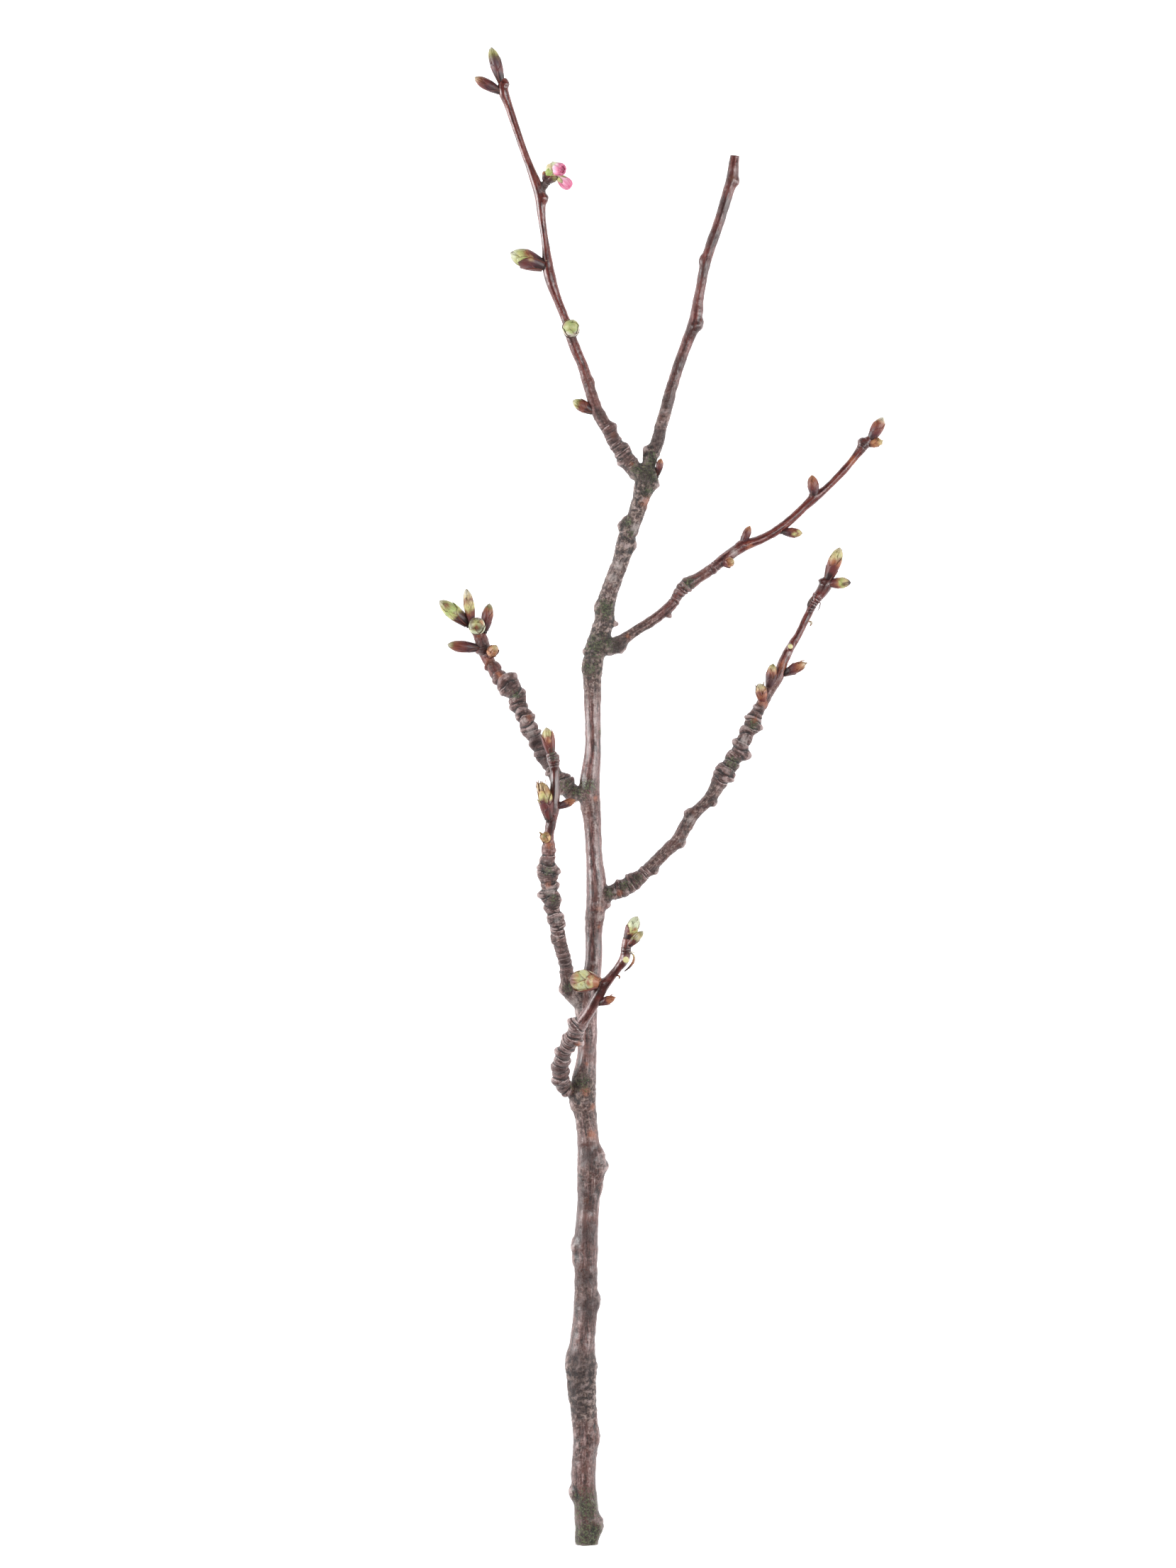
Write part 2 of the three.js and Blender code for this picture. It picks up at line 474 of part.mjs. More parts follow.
const sprig = new THREE.Group();
sprig.position.set(...CUT_FOOT);
sprig.add(
  named('branch', wood, bark),
  named('blossom_bracts', bracts, paleGreen),
  named('flower_bud_upper', flowerBud([-11.3, 483.6, 21.6], [-8.6, 484.3, 24.4], 2.4), pink),
  named('flower_bud_lower', flowerBud([-10.2, 480.6, 20.8], [-5.9, 476.6, 21.4], 2.0), pink),
);

export default sprig;
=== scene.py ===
import bpy
import numpy as np
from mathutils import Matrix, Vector, kdtree


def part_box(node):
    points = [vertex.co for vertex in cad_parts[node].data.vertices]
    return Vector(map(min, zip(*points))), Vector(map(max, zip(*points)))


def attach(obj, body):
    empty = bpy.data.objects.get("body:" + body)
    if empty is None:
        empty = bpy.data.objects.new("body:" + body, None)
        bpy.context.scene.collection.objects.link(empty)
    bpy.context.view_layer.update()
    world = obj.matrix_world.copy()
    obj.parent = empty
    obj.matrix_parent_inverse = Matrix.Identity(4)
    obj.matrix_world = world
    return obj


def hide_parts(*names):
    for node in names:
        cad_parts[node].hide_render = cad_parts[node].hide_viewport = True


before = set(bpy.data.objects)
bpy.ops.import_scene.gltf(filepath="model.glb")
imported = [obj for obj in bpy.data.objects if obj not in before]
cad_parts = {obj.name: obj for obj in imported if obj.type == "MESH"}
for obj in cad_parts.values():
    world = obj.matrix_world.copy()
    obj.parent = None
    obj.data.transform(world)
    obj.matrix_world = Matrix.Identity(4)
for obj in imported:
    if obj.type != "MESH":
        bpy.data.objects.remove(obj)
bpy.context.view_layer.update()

# ---- The wood --------------------------------------------------------------
# The wood grew as one piece: a stem several years old, two arms, two shoots to the
# right, three ringed spurs to the left and a short one under the blossom. Its bark
# is thin, grey-brown and cracked where it is old, red-brown and glossy where young.

# Places on a limb are millimetres from the cut foot of the stem, across, along and
# up, with the limb's radius: [x, y, z, radius]. Spots on its bark are [x, y, z, size].
MM = 0.001
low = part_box("branch")[0]
# The cut foot stands this far in from the low corner of the wood's box.
FOOT_ACROSS, FOOT_ALONG = 52.5 * MM, 0.1 * MM
FOOT = Vector((low.x + FOOT_ACROSS, low.y + FOOT_ALONG, low.z))

# Lumps in the bark, by their size: three that swell with the limb, three in its crust.
SWELLING, KNUCKLE, FLUTE = 6.0, 2.4, 1.7
CRACK, GRIT, SCAB = 1.7, 0.8, 1.2
FLUTE_SHORTENED, FLUTE_SHIFT = 0.13, 50
KNOB_SHOULDER = 1.7
KNOB_LUMP = 0.9
STRIPE_FADE = 6.0

# A stack of year rings fades out at its ends. The lip of each stands just before its groove.
RING_FADE = 1.2
LIP_BEFORE, LIP_WIDTH, GROOVE_WIDTH = 0.3, 0.2, 0.16

# A cut end is drawn in to its middle over loops of these parts of the limb's radius.
END_LOOPS = (0.93, 0.7, 0.35)
# The grain of one limb is this far from the next one's, so that no two are alike.
GRAIN_APART = 150

# Where two limbs meet, their seam is smoothed this far out, in so many rounds. A point
# this far from any point of the limbs is new, so it lies on a seam.
SEAM_REACH = 1.7 * MM
SEAM_ROUNDS = 14
OFF_THE_LIMBS = 0.004 * MM
# A round draws a point this part of the way to the middle of its neighbours. A few rounds
# show the small hollows, and more of them take out the wide ones.
EASE = 0.7
NEAR_ROUNDS, FAR_ROUNDS = 10, 30

# A route is followed in fine steps, this many for each of its stops.
FINE_STEPS = 40

# What differs from ring to ring and from scale to scale, such as its turn in radians.
draw = np.random.default_rng(11)
ANY_TURN = (0, 6.3)

# Large numbers that scatter the corners of a lattice over values without a pattern, and
# how many of its cells lie between one layer of lumps and the next.
LATTICE = 4096
SCATTER = (73856093, 19349663, 83492791)
STIR = 1274126177
VALUES = 65521
LAYERS_APART = 31.7


def place(points):
    """Millimetres from the cut foot, as metres in the sprig's own frame."""
    return np.asarray(points, float) * MM + np.array(FOOT)


def lumps(points, size, layer=0):
    """Smooth lumps between -1 and 1, each about `size` across and the same in every run."""
    cell = points / size + LAYERS_APART * layer
    corner = np.floor(cell).astype(np.int64)
    part = cell - corner
    part = part * part * (3 - 2 * part)
    total = np.zeros(points.shape[:-1])
    for step in np.ndindex(2, 2, 2):
        mixed = np.bitwise_xor.reduce((corner + step) % LATTICE * SCATTER, axis=-1)
        mixed = (mixed ^ (mixed >> 13)) * STIR % VALUES
        total += np.prod(np.where(step, part, 1 - part), axis=-1) * (mixed / (VALUES // 2) - 1)
    return total


def follow(stops, spacing):
    """Even steps along a smooth line through the stops: the distances, and the places there."""
    stops = np.array(stops, float)
    chord = np.r_[0, np.cumsum(np.linalg.norm(np.diff(stops[:, :3], axis=0), axis=1))]
    slope = np.gradient(stops, chord, axis=0)
    fine = np.linspace(0, chord[-1], FINE_STEPS * len(stops))
    at = np.clip(np.searchsorted(chord, fine, side="right") - 1, 0, len(stops) - 2)
    gap = (chord[at + 1] - chord[at])[:, None]
    t = (fine - chord[at])[:, None] / gap
    line = (
        (2 * t**3 - 3 * t**2 + 1) * stops[at] + (t**3 - 2 * t**2 + t) * gap * slope[at]
        + (3 * t**2 - 2 * t**3) * stops[at + 1] + (t**3 - t**2) * gap * slope[at + 1]
    )
    run = np.r_[0, np.cumsum(np.linalg.norm(np.diff(line[:, :3], axis=0), axis=1))]
    along = np.linspace(0, run[-1], int(run[-1] / spacing) + 1)
    return along, np.column_stack([np.interp(along, run, line[:, k]) for k in range(4)])


def square_to(line):
    """Two directions square to a line at each of its points, carried along it without a twist."""
    ahead = np.gradient(line, axis=0)
    ahead /= np.linalg.norm(ahead, axis=1)[:, None]
    up = np.array([0.0, 0.0, 1.0])
    ups = []
    for direction in ahead:
        up = up - up.dot(direction) * direction
        up /= np.linalg.norm(up)
        ups.append(up)
    return np.array(ups), np.cross(ahead, ups)


def outwards(angle, up, side):
    """The directions out of a line at each angle round it."""
    return np.cos(angle)[..., None] * up + np.sin(angle)[..., None] * side


def covered(points, spots):
    """How far round spots cover each point, from 0 to 1."""
    cover = np.zeros(points.shape[:-1])
    for x, y, z, size in spots:
        away = np.sum((points - [x, y, z]) ** 2, axis=-1)
        cover = np.maximum(cover, np.exp(-away / size**2))
    return cover


def rings(along, angle, start, end, shortest, longest, bulge, sway):
    """The rings that a slow spur keeps of its yearly scars: swollen sleeves, each bulging most to
    one side, with a tight groove between. Gives how far they stand out as a part of the radius,
    their lips above 0 with the grooves below, and where they are."""
    edges = [start]
    while edges[-1] < end:
        edges.append(edges[-1] + draw.uniform(shortest, longest))
    lines = []
    for edge in edges:
        lean, turn = 0.2 * (shortest + longest) * draw.uniform(0.2, 1), draw.uniform(*ANY_TURN)
        lines.append(edge + lean * np.cos(angle - turn) + 0.1 * shortest * np.cos(3 * angle + turn))
    place_on = along[:, None]
    inside = np.clip((place_on - start) / RING_FADE, 0, 1) * np.clip((edges[-1] - place_on) / RING_FADE, 0, 1)
    rise, lips = np.zeros((len(along), len(angle))), np.zeros((len(along), len(angle)))
    side = draw.uniform(*ANY_TURN)
    for first, last in zip(lines, lines[1:]):
        side += np.pi + draw.uniform(-1, 1)
        tall = draw.uniform(0.55, 1.0)
        part = np.clip((place_on - first) / (last - first), 0, 1)
        swell = np.sin(np.pi * part ** 1.15) ** 0.62 * tall * (1 + sway * np.cos(angle - side))
        rise = np.maximum(rise, swell)
        before = last - place_on
        lip = np.exp(-(((before - LIP_BEFORE) / LIP_WIDTH) ** 2))
        ridge = tall * lip - np.exp(-((before / GROOVE_WIDTH) ** 2))
        lips = np.where(np.abs(ridge) > np.abs(lips), ridge, lips)
    return bulge * (rise - 0.5) * inside, lips * inside, inside


def limb(
    route, sides, spacing, age, rough, ringed=(), knobs=(), moss=(), rust=(), dark=(), pale=(), stripes=()
):
    """A limb as loops round its route, with its grain and what its bark is like at each point. Its
    age and roughness are given at even steps along it. A stack of rings is [start, end, shortest,
    longest, bulge, sway], a knob [x, y, z, height, width] and a painted highlight stripe [start, end,
    turn, width, strength], with starts and ends along the limb. A stripe is a pale band along one
    side of the limb, at a turn from its upper side, where the gloss falls."""
    along, line = follow(route, spacing)
    ups, rights = square_to(line[:, :3])
    angle = np.linspace(0, 2 * np.pi, sides, endpoint=False)
    outward = outwards(angle, ups[:, None], rights[:, None])
    radius = line[:, 3][:, None]
    grain = np.stack(
        [radius * np.cos(angle), radius * np.sin(angle), along[:, None] + 0 * radius * angle], axis=-1
    )
    bark = line[:, None, :3] + outward * radius[..., None]
    share = along / along[-1]
    years = np.interp(share, np.linspace(0, 1, len(age)), age)[:, None]
    crust = np.interp(share, np.linspace(0, 1, len(rough)), rough)[:, None]
    push = 0.05 * radius * lumps(bark, SWELLING) + 0.04 * radius * lumps(bark, KNUCKLE, 1)
    push += 0.045 * radius * lumps(grain * [1, 1, FLUTE_SHORTENED] + FLUTE_SHIFT, FLUTE, 2)
    push += crust * (0.14 * lumps(bark, CRACK, 3) + 0.12 * lumps(bark, GRIT, 4))
    push += 0.3 * crust * np.clip(lumps(bark, SCAB, 5) - 0.35, 0, 1)
    lips, ring = np.zeros(push.shape), np.zeros(push.shape)
    for start, end, shortest, longest, bulge, sway in ringed:
        rise, ridge, inside = rings(along, angle, start, end, shortest, longest, bulge, sway)
        push += radius * rise
        lips += ridge
        ring = np.maximum(ring, inside)
    for x, y, z, height, wide in knobs:
        away = np.sum((bark - [x, y, z]) ** 2, axis=-1)
        push += height * np.exp(-((away / wide**2) ** KNOB_SHOULDER)) * (1 + 0.18 * lumps(bark, KNOB_LUMP, 6))
    silver_and_highlight = covered(bark, pale)
    # Painted highlight: a pale stripe along one side of the limb, laid into its silvery film.
    for start, end, turn, wide, strength in stripes:
        there = np.clip(np.minimum(along - start, end - along) / STRIPE_FADE, 0, 1)[:, None]
        aside = (angle - turn + 1) % (2 * np.pi) - 1
        silver_and_highlight = np.maximum(silver_and_highlight, strength * there * np.exp(-(aside / wide) ** 2))
    masks = {
        "age": np.repeat(years, sides, axis=1),
        "crust": np.repeat(crust, sides, axis=1),
        "lips": lips,
        "ring": ring,
    }
    bark = bark + outward * push[..., None]
    for mask, spots in (("moss", moss), ("rust", rust), ("dark", dark)):
        masks[mask] = covered(bark, spots)
    masks["pale"] = silver_and_highlight
    return bark, grain, masks


def drawn_in(rows):
    """The rows of a limb with its end loops, and the middle point of each end after them."""
    first, last = rows[0], rows[-1]
    starts = [first.mean(0) + part * (first - first.mean(0)) for part in END_LOOPS[::-1]]
    ends = [last.mean(0) + part * (last - last.mean(0)) for part in END_LOOPS]
    tube = np.concatenate([starts, rows, ends])
    return np.concatenate([tube.reshape(-1, *rows.shape[2:]), [first.mean(0), last.mean(0)]])


def tube_faces(loops, sides):
    """Quads between the loops of a tube, and a fan to the middle point of each end."""
    faces = []
    for loop in range(loops - 1):
        for side in range(sides):
            a, b = loop * sides + side, loop * sides + (side + 1) % sides
            faces.append((a, b, b + sides, a + sides))
    first, last, base = loops * sides, loops * sides + 1, (loops - 1) * sides
    for side in range(sides):
        after = (side + 1) % sides
        faces += [(first, after, side), (last, base + side, base + after)]
    return faces


def new_piece(name, points, faces):
    """A smooth-shaded piece from its points and faces."""
    mesh = bpy.data.meshes.new(name)
    mesh.from_pydata(points.tolist(), [], faces)
    mesh.shade_smooth()
    piece = bpy.data.objects.new(name, mesh)
    bpy.context.collection.objects.link(piece)
    return piece


def write(piece, name, values):
    """Stores a number, or three, for each point of a piece."""
    values = np.asarray(values, np.float32)
    kind, field = ("FLOAT_VECTOR", "vector") if values.ndim == 2 else ("FLOAT", "value")
    piece.data.attributes.new(name, kind, "POINT").data.foreach_set(field, values.ravel())


limbs = []


def grow(name, sides, **shape):
    """Makes one limb as a closed piece, and keeps what its bark is like for the joined wood."""
    bark, grain, masks = limb(sides=sides, **shape)
    points, grain = place(drawn_in(bark)), drawn_in(grain)
    points[:, 2] = np.maximum(points[:, 2], FOOT.z)
    grain[:, 2] += GRAIN_APART * len(limbs)
    masks = {mask: drawn_in(rows) for mask, rows in masks.items()}
    masks["cut"] = np.ones(len(points))
    added = len(END_LOOPS) * sides
    masks["cut"][added:added + len(bark) * sides] = 0
    piece = new_piece(name, points, tube_faces(len(bark) + 2 * len(END_LOOPS), sides))
    limbs.append({"piece": piece, "points": points, "grain": grain, "masks": masks})


# The old stem, from the cut foot to the top fork.
grow(
    "old_stem", sides=44, spacing=0.55, age=(1, 0.95, 1, 0.95, 0.85, 0.9, 0.62, 0.62, 0.62, 0.58, 0.9, 1, 1),
    rough=(
        0.9, 0.5, 0.5, 0.6, 0.6, 1.7, 1.8, 0.5, 0.6, 0.9, 0.5, 0.4, 0.4, 0.8, 0.5, 0.9, 1.4, 0.3, 0.3, 0.7,
        0.4, 0.2, 0.9, 0.3, 0.2, 0.4, 1.0, 0.3, 0.3, 0.2, 1.0, 1.5, 1.5, 1.2, 1.0, 1.4, 1.2, 1.7, 1.7,
    ),
    route=[
        [-0.5, 0, 4.1, 4.0], [-0.5, 3, 4.2, 4.3], [-0.5, 7.5, 4.3, 4.4], [-1.0, 15, 4.7, 4.25],
        [-1.8, 24, 5.0, 4.4], [-1.2, 33, 5.2, 4.35], [-1.0, 41, 5.4, 4.45], [-2.0, 51, 5.7, 4.75],
        [-2.5, 62, 5.9, 4.85], [-1.8, 74, 6.2, 4.35], [-0.8, 85, 6.4, 4.25], [-1.0, 97, 6.6, 4.2],
        [-0.8, 108, 6.9, 4.2], [0.0, 119, 7.1, 3.95], [0.2, 133, 7.4, 4.1], [-0.2, 145, 7.7, 3.8],
        [-1.2, 154, 7.9, 4.1], [-2.0, 161, 8.0, 4.7], [-0.7, 169, 8.2, 3.7], [-0.3, 182, 8.5, 3.5],
        [-0.8, 192, 8.7, 4.1], [1.4, 202, 8.9, 3.2], [2.0, 218, 9.2, 3.2], [3.0, 229, 9.4, 3.7],
        [2.0, 244, 9.7, 3.0], [1.2, 257, 9.9, 3.2], [0.3, 265, 10.0, 3.7], [1.5, 279, 10.3, 2.85],
        [1.5, 297, 10.6, 3.0], [1.5, 309, 10.8, 3.4], [3.0, 317, 10.9, 3.9], [5.2, 325, 11.0, 3.5],
        [6.5, 333, 11.2, 3.3], [8.8, 340, 11.4, 3.05], [11.5, 347, 11.6, 2.95], [13.5, 355, 11.9, 3.15],
        [15.8, 361, 12.1, 2.95], [18.5, 369, 12.3, 3.0], [20.0, 375, 12.5, 3.8], [20.4, 380, 12.7, 3.4],
    ],
    knobs=[
        [5.0, 7, 4.5, 1.5, 3.6], [-6.2, 18, 5, 1.4, 2.8], [3.6, 39, 5, 0.8, 4.5], [-7.2, 65, 6, 0.9, 4.0],
        [3.0, 62, 6, 0.9, 4.0], [3.6, 86, 6.5, 1.0, 3.2], [-5.4, 106, 7, 1.2, 2.8],
        [-5.4, 100.5, 7, 0.6, 2.2], [4.2, 136, 7.5, 1.9, 4.6], [4.4, 131, 7.5, 1.2, 4.4],
        [4.2, 125.5, 7.5, 0.7, 2.2], [6.6, 226.5, 9, 1.9, 2.0], [10.8, 359.5, 12, 2.0, 1.9],
        [12.0, 361.6, 12.5, 1.2, 1.6], [16.8, 352, 12.6, 1.5, 2.0], [-2.2, 310, 11, 0.6, 2.6],
        [3.2, 331, 12.5, 1.1, 2.1], [-0.8, 315, 11.5, 1.0, 1.1], [8.7, 325, 11, 1.7, 1.0],
        [-5.5, 156, 8, 1.0, 3.0], [23.0, 374, 12.4, 1.3, 2.2], [-2, 63, 10, 0.5, 3.0],
        [1.5, 226, 12, 0.5, 2.0], [13.2, 352.5, 14.5, 0.7, 1.8], [4.0, 221.5, 12, 0.45, 2.2],
        [1.9, 205.6, 12, 0.3, 1.2], [19.5, 368, 15, 0.4, 1.4],
    ],
    moss=[
        [21, 377.5, 15.5, 5.0], [20.7, 371.5, 15, 2.4], [13.5, 360.5, 14.5, 2.4], [15, 356.5, 14.8, 1.8],
        [3, 317, 14, 5.0], [6.2, 330, 14, 4.0], [-2.2, 266.5, 13, 3.6], [0.3, 268, 13.5, 3.2],
        [0.5, 309, 13, 3.4], [-2.2, 163, 12, 3.4], [-0.5, 3, 7, 8.5], [-1, 14, 7, 7], [4.7, 287, 11, 2.0],
    ],
    rust=[
        [1.8, 155, 11, 1.8], [1.4, 145, 11, 2.4], [3.9, 224.5, 12.4, 1.4], [3.7, 218.2, 12, 1.0],
        [2.4, 263.5, 13, 1.5], [20.8, 367.5, 14.4, 3.0], [-0.4, 170, 12, 0.9], [-1, 160.5, 12.4, 2.2],
        [-0.3, 122, 10, 2.2],
    ],
    dark=[
        [-4, 56, 9, 5.5], [-2.5, 63, 9, 5.5], [-3, 49, 9, 4.0], [-4, 67, 9, 4], [0.5, 84, 9.5, 6],
        [-1, 95, 10, 5], [-1, 110, 10, 6], [-2, 122, 10, 6], [0, 138, 11, 5], [17.6, 352, 14.4, 1.3],
        [0.3, 152, 11.5, 0.9], [2.7, 281, 13, 0.9], [1.9, 205.6, 12, 0.8], [19.8, 369, 15, 0.8],
        [20.2, 366, 15, 0.7], [12, 359.5, 14, 1.6], [19.5, 376.5, 15.5, 4.0],
    ],
    pale=[
        [3.9, 221.4, 12.3, 1.3], [-4.2, 190, 11, 3.4], [-4.5, 183, 10.5, 3.0], [16.5, 358, 15, 2.6],
        [8.5, 341, 14, 2.2], [10.3, 345.5, 14.5, 2.4],
    ],
    # Painted highlight stripes along the stem, where the gloss falls.
    stripes=[
        [175, 310, 0.3, 0.22, 0.65], [40, 175, 0.5, 0.25, 0.3], [180, 300, -0.75, 0.2, 0.35],
        [332, 368, 0.35, 0.25, 0.5],
    ],
)

# The right arm of the top fork, cut off blunt at its end.
grow(
    "right_arm", sides=24, spacing=0.4, rough=(1.6, 0.9, 0.5, 0.4, 0.5, 0.3, 0.3),
    age=(1, 0.85, 0.5, 0.4, 0.35, 0.4, 0.4),
    route=[
        [20.2, 377, 12.6, 3.0], [22.2, 384, 12.2, 2.5], [24.0, 388, 12.0, 2.35], [25.8, 395, 11.8, 2.2],
        [27.2, 400, 11.7, 2.2], [29.3, 408, 11.8, 2.05], [32.2, 417, 12.0, 2.0], [35.2, 425, 12.4, 2.1],
        [37.2, 430, 12.7, 2.4], [39.3, 442, 13.3, 1.85], [41.5, 453, 14.0, 1.95], [45.7, 465, 14.8, 1.9],
        [49.0, 476, 15.4, 1.95], [50.4, 481, 15.7, 2.1], [51.2, 486.5, 16.0, 1.8], [51.5, 489.2, 16.1, 1.55],
    ],
    knobs=[
        [21.0, 386, 12, 1.2, 1.8], [40.0, 430, 13, 1.0, 2.2], [39.0, 453, 14, 0.7, 1.8],
        [52.6, 480, 16, 0.7, 1.8], [37.6, 429.4, 15, 0.5, 1.2], [26.9, 399.8, 14, 0.3, 1.2],
    ],
    moss=[[22.5, 382, 14.5, 3.6]],
    dark=[
        [26.9, 399.8, 14, 0.8], [37.5, 428.3, 15.2, 0.9], [23, 379, 15, 2.5], [24.5, 390, 14, 4.0],
        [28, 403, 14, 4.0], [32, 416, 14, 4.5], [36, 428, 15, 4.0], [41, 449, 15.5, 5.0],
        [44, 460, 16.5, 5.0], [47.5, 471, 17, 5.0], [50, 481, 17, 3.0],
    ],
    rust=[[50.6, 481, 17.5, 1.6]],
    pale=[[39.6, 433.6, 15.2, 1.2]],
)

# The left arm of the top fork: a rough old foot, then a smooth young shoot.
grow(
    "left_arm", sides=26, spacing=0.4, rough=(1.5, 1.0, 0.4, 0.2, 0.15, 0.1, 0.1),
    age=(1, 0.65, 0.4, 0.18, 0.12, 0.08, 0.05, 0, 0),
    ringed=[[3, 21, 1.2, 2.6, 0.12, 0.4]],
    route=[
        [18.2, 377, 12.6, 3.3], [13.8, 382.5, 12.9, 2.95], [9.5, 388.5, 13.2, 2.45], [6.7, 393.5, 13.5, 2.4],
        [2.9, 400, 13.9, 2.25], [0.0, 409, 14.5, 1.95], [-2.0, 415.5, 14.9, 1.8], [-5.0, 422.5, 15.4, 2.0],
        [-7.9, 431.5, 16.0, 1.6], [-10.2, 437, 16.4, 1.55], [-13.7, 447.5, 17.1, 2.1],
        [-14.9, 457.5, 17.8, 1.4], [-16.3, 467.5, 18.5, 1.4], [-17.1, 475.5, 19.1, 2.0],
        [-19.7, 483, 19.6, 1.5], [-22.2, 489.5, 20, 1.3], [-25.4, 498.5, 20.7, 1.35],
        [-28.1, 506.5, 21.3, 1.5], [-29.8, 511.5, 21.7, 1.9], [-30.4, 515.5, 22, 1.2],
    ],
    knobs=[
        [13.5, 387, 13, 0.9, 1.9], [11.5, 381.5, 13, 0.9, 1.9], [8.7, 394, 13.5, 0.9, 1.9],
        [1.4, 410, 14.5, 0.5, 1.8], [-28.7, 514.2, 22, 1.1, 1.7], [-15.2, 474, 19, 1.1, 1.9],
    ],
    moss=[[17, 379, 15.5, 3.0]],
    rust=[[9, 391, 15.5, 1.6], [15.5, 381, 15.5, 1.2]],
    dark=[
        [7.3, 391.3, 16, 1.6], [-17.3, 476.5, 20.5, 1.8], [-5.8, 424.5, 17, 1.8], [9, 390, 15.5, 2.8],
        [4, 398.5, 15.5, 2.6],
    ],
)

# The upper right shoot: a rough stub at its foot, one cluster of rings, thin beyond.
grow(
    "upper_right_shoot", sides=24, spacing=0.4, rough=(1.4, 0.6, 0.5, 0.4, 0.3, 0.2),
    age=(1, 0.8, 0.45, 0.55, 0.35, 0.2, 0.15, 0.1, 0.4),
    ringed=[[30, 39, 1.2, 2.2, 0.26, 0.4], [47, 52, 1.0, 1.9, 0.18, 0.3], [116, 124, 0.8, 1.5, 0.14, 0.2]],
    route=[
        [4.0, 316.3, 10.9, 3.4], [8.0, 317, 10.9, 3.2], [10.5, 318, 10.8, 2.85], [13.0, 319.8, 10.8, 2.1],
        [16.5, 322.3, 10.7, 1.8], [21.3, 325.3, 10.5, 1.9], [27.3, 329.8, 10.2, 1.95],
        [30.0, 332.5, 10.1, 1.9], [32.5, 336.5, 9.9, 2.2], [35.5, 339, 9.8, 2.5], [38.3, 340.8, 9.6, 2.0],
        [43.8, 344.5, 9.3, 2.0], [48.8, 348.5, 9.0, 1.95], [54.0, 352, 8.7, 2.0], [62.5, 355.5, 8.1, 1.6],
        [67.0, 358.3, 7.8, 1.65], [71.5, 361.8, 7.5, 1.5], [75.8, 365.8, 7.1, 1.45], [79.8, 369.5, 6.8, 1.75],
        [83.3, 372.3, 6.5, 1.4], [90.0, 379, 6.0, 1.3], [94.5, 384.3, 5.6, 1.4], [97.3, 388, 5.4, 1.9],
        [99.8, 390.8, 5.3, 1.2],
    ],
    knobs=[
        [28.0, 328.4, 10, 1.5, 1.1], [12.3, 315.5, 10.5, 0.9, 1.9], [96.4, 389.6, 5.5, 0.9, 1.6],
        [79.0, 371.2, 7.4, 0.7, 1.5], [53.5, 353.4, 9.4, 0.6, 1.6],
    ],
    moss=[[8, 318, 13.5, 3.5], [35.3, 339.5, 12, 2.6]],
    rust=[[14, 320.5, 13, 1.2], [93, 382.5, 6.5, 2.2], [57, 352, 10, 2.0]],
    dark=[[97.5, 388, 7, 2.2], [79.3, 370.5, 8, 1.4], [10, 317.5, 13, 3.0]],
    pale=[[51.5, 350, 11, 2.0]],
)

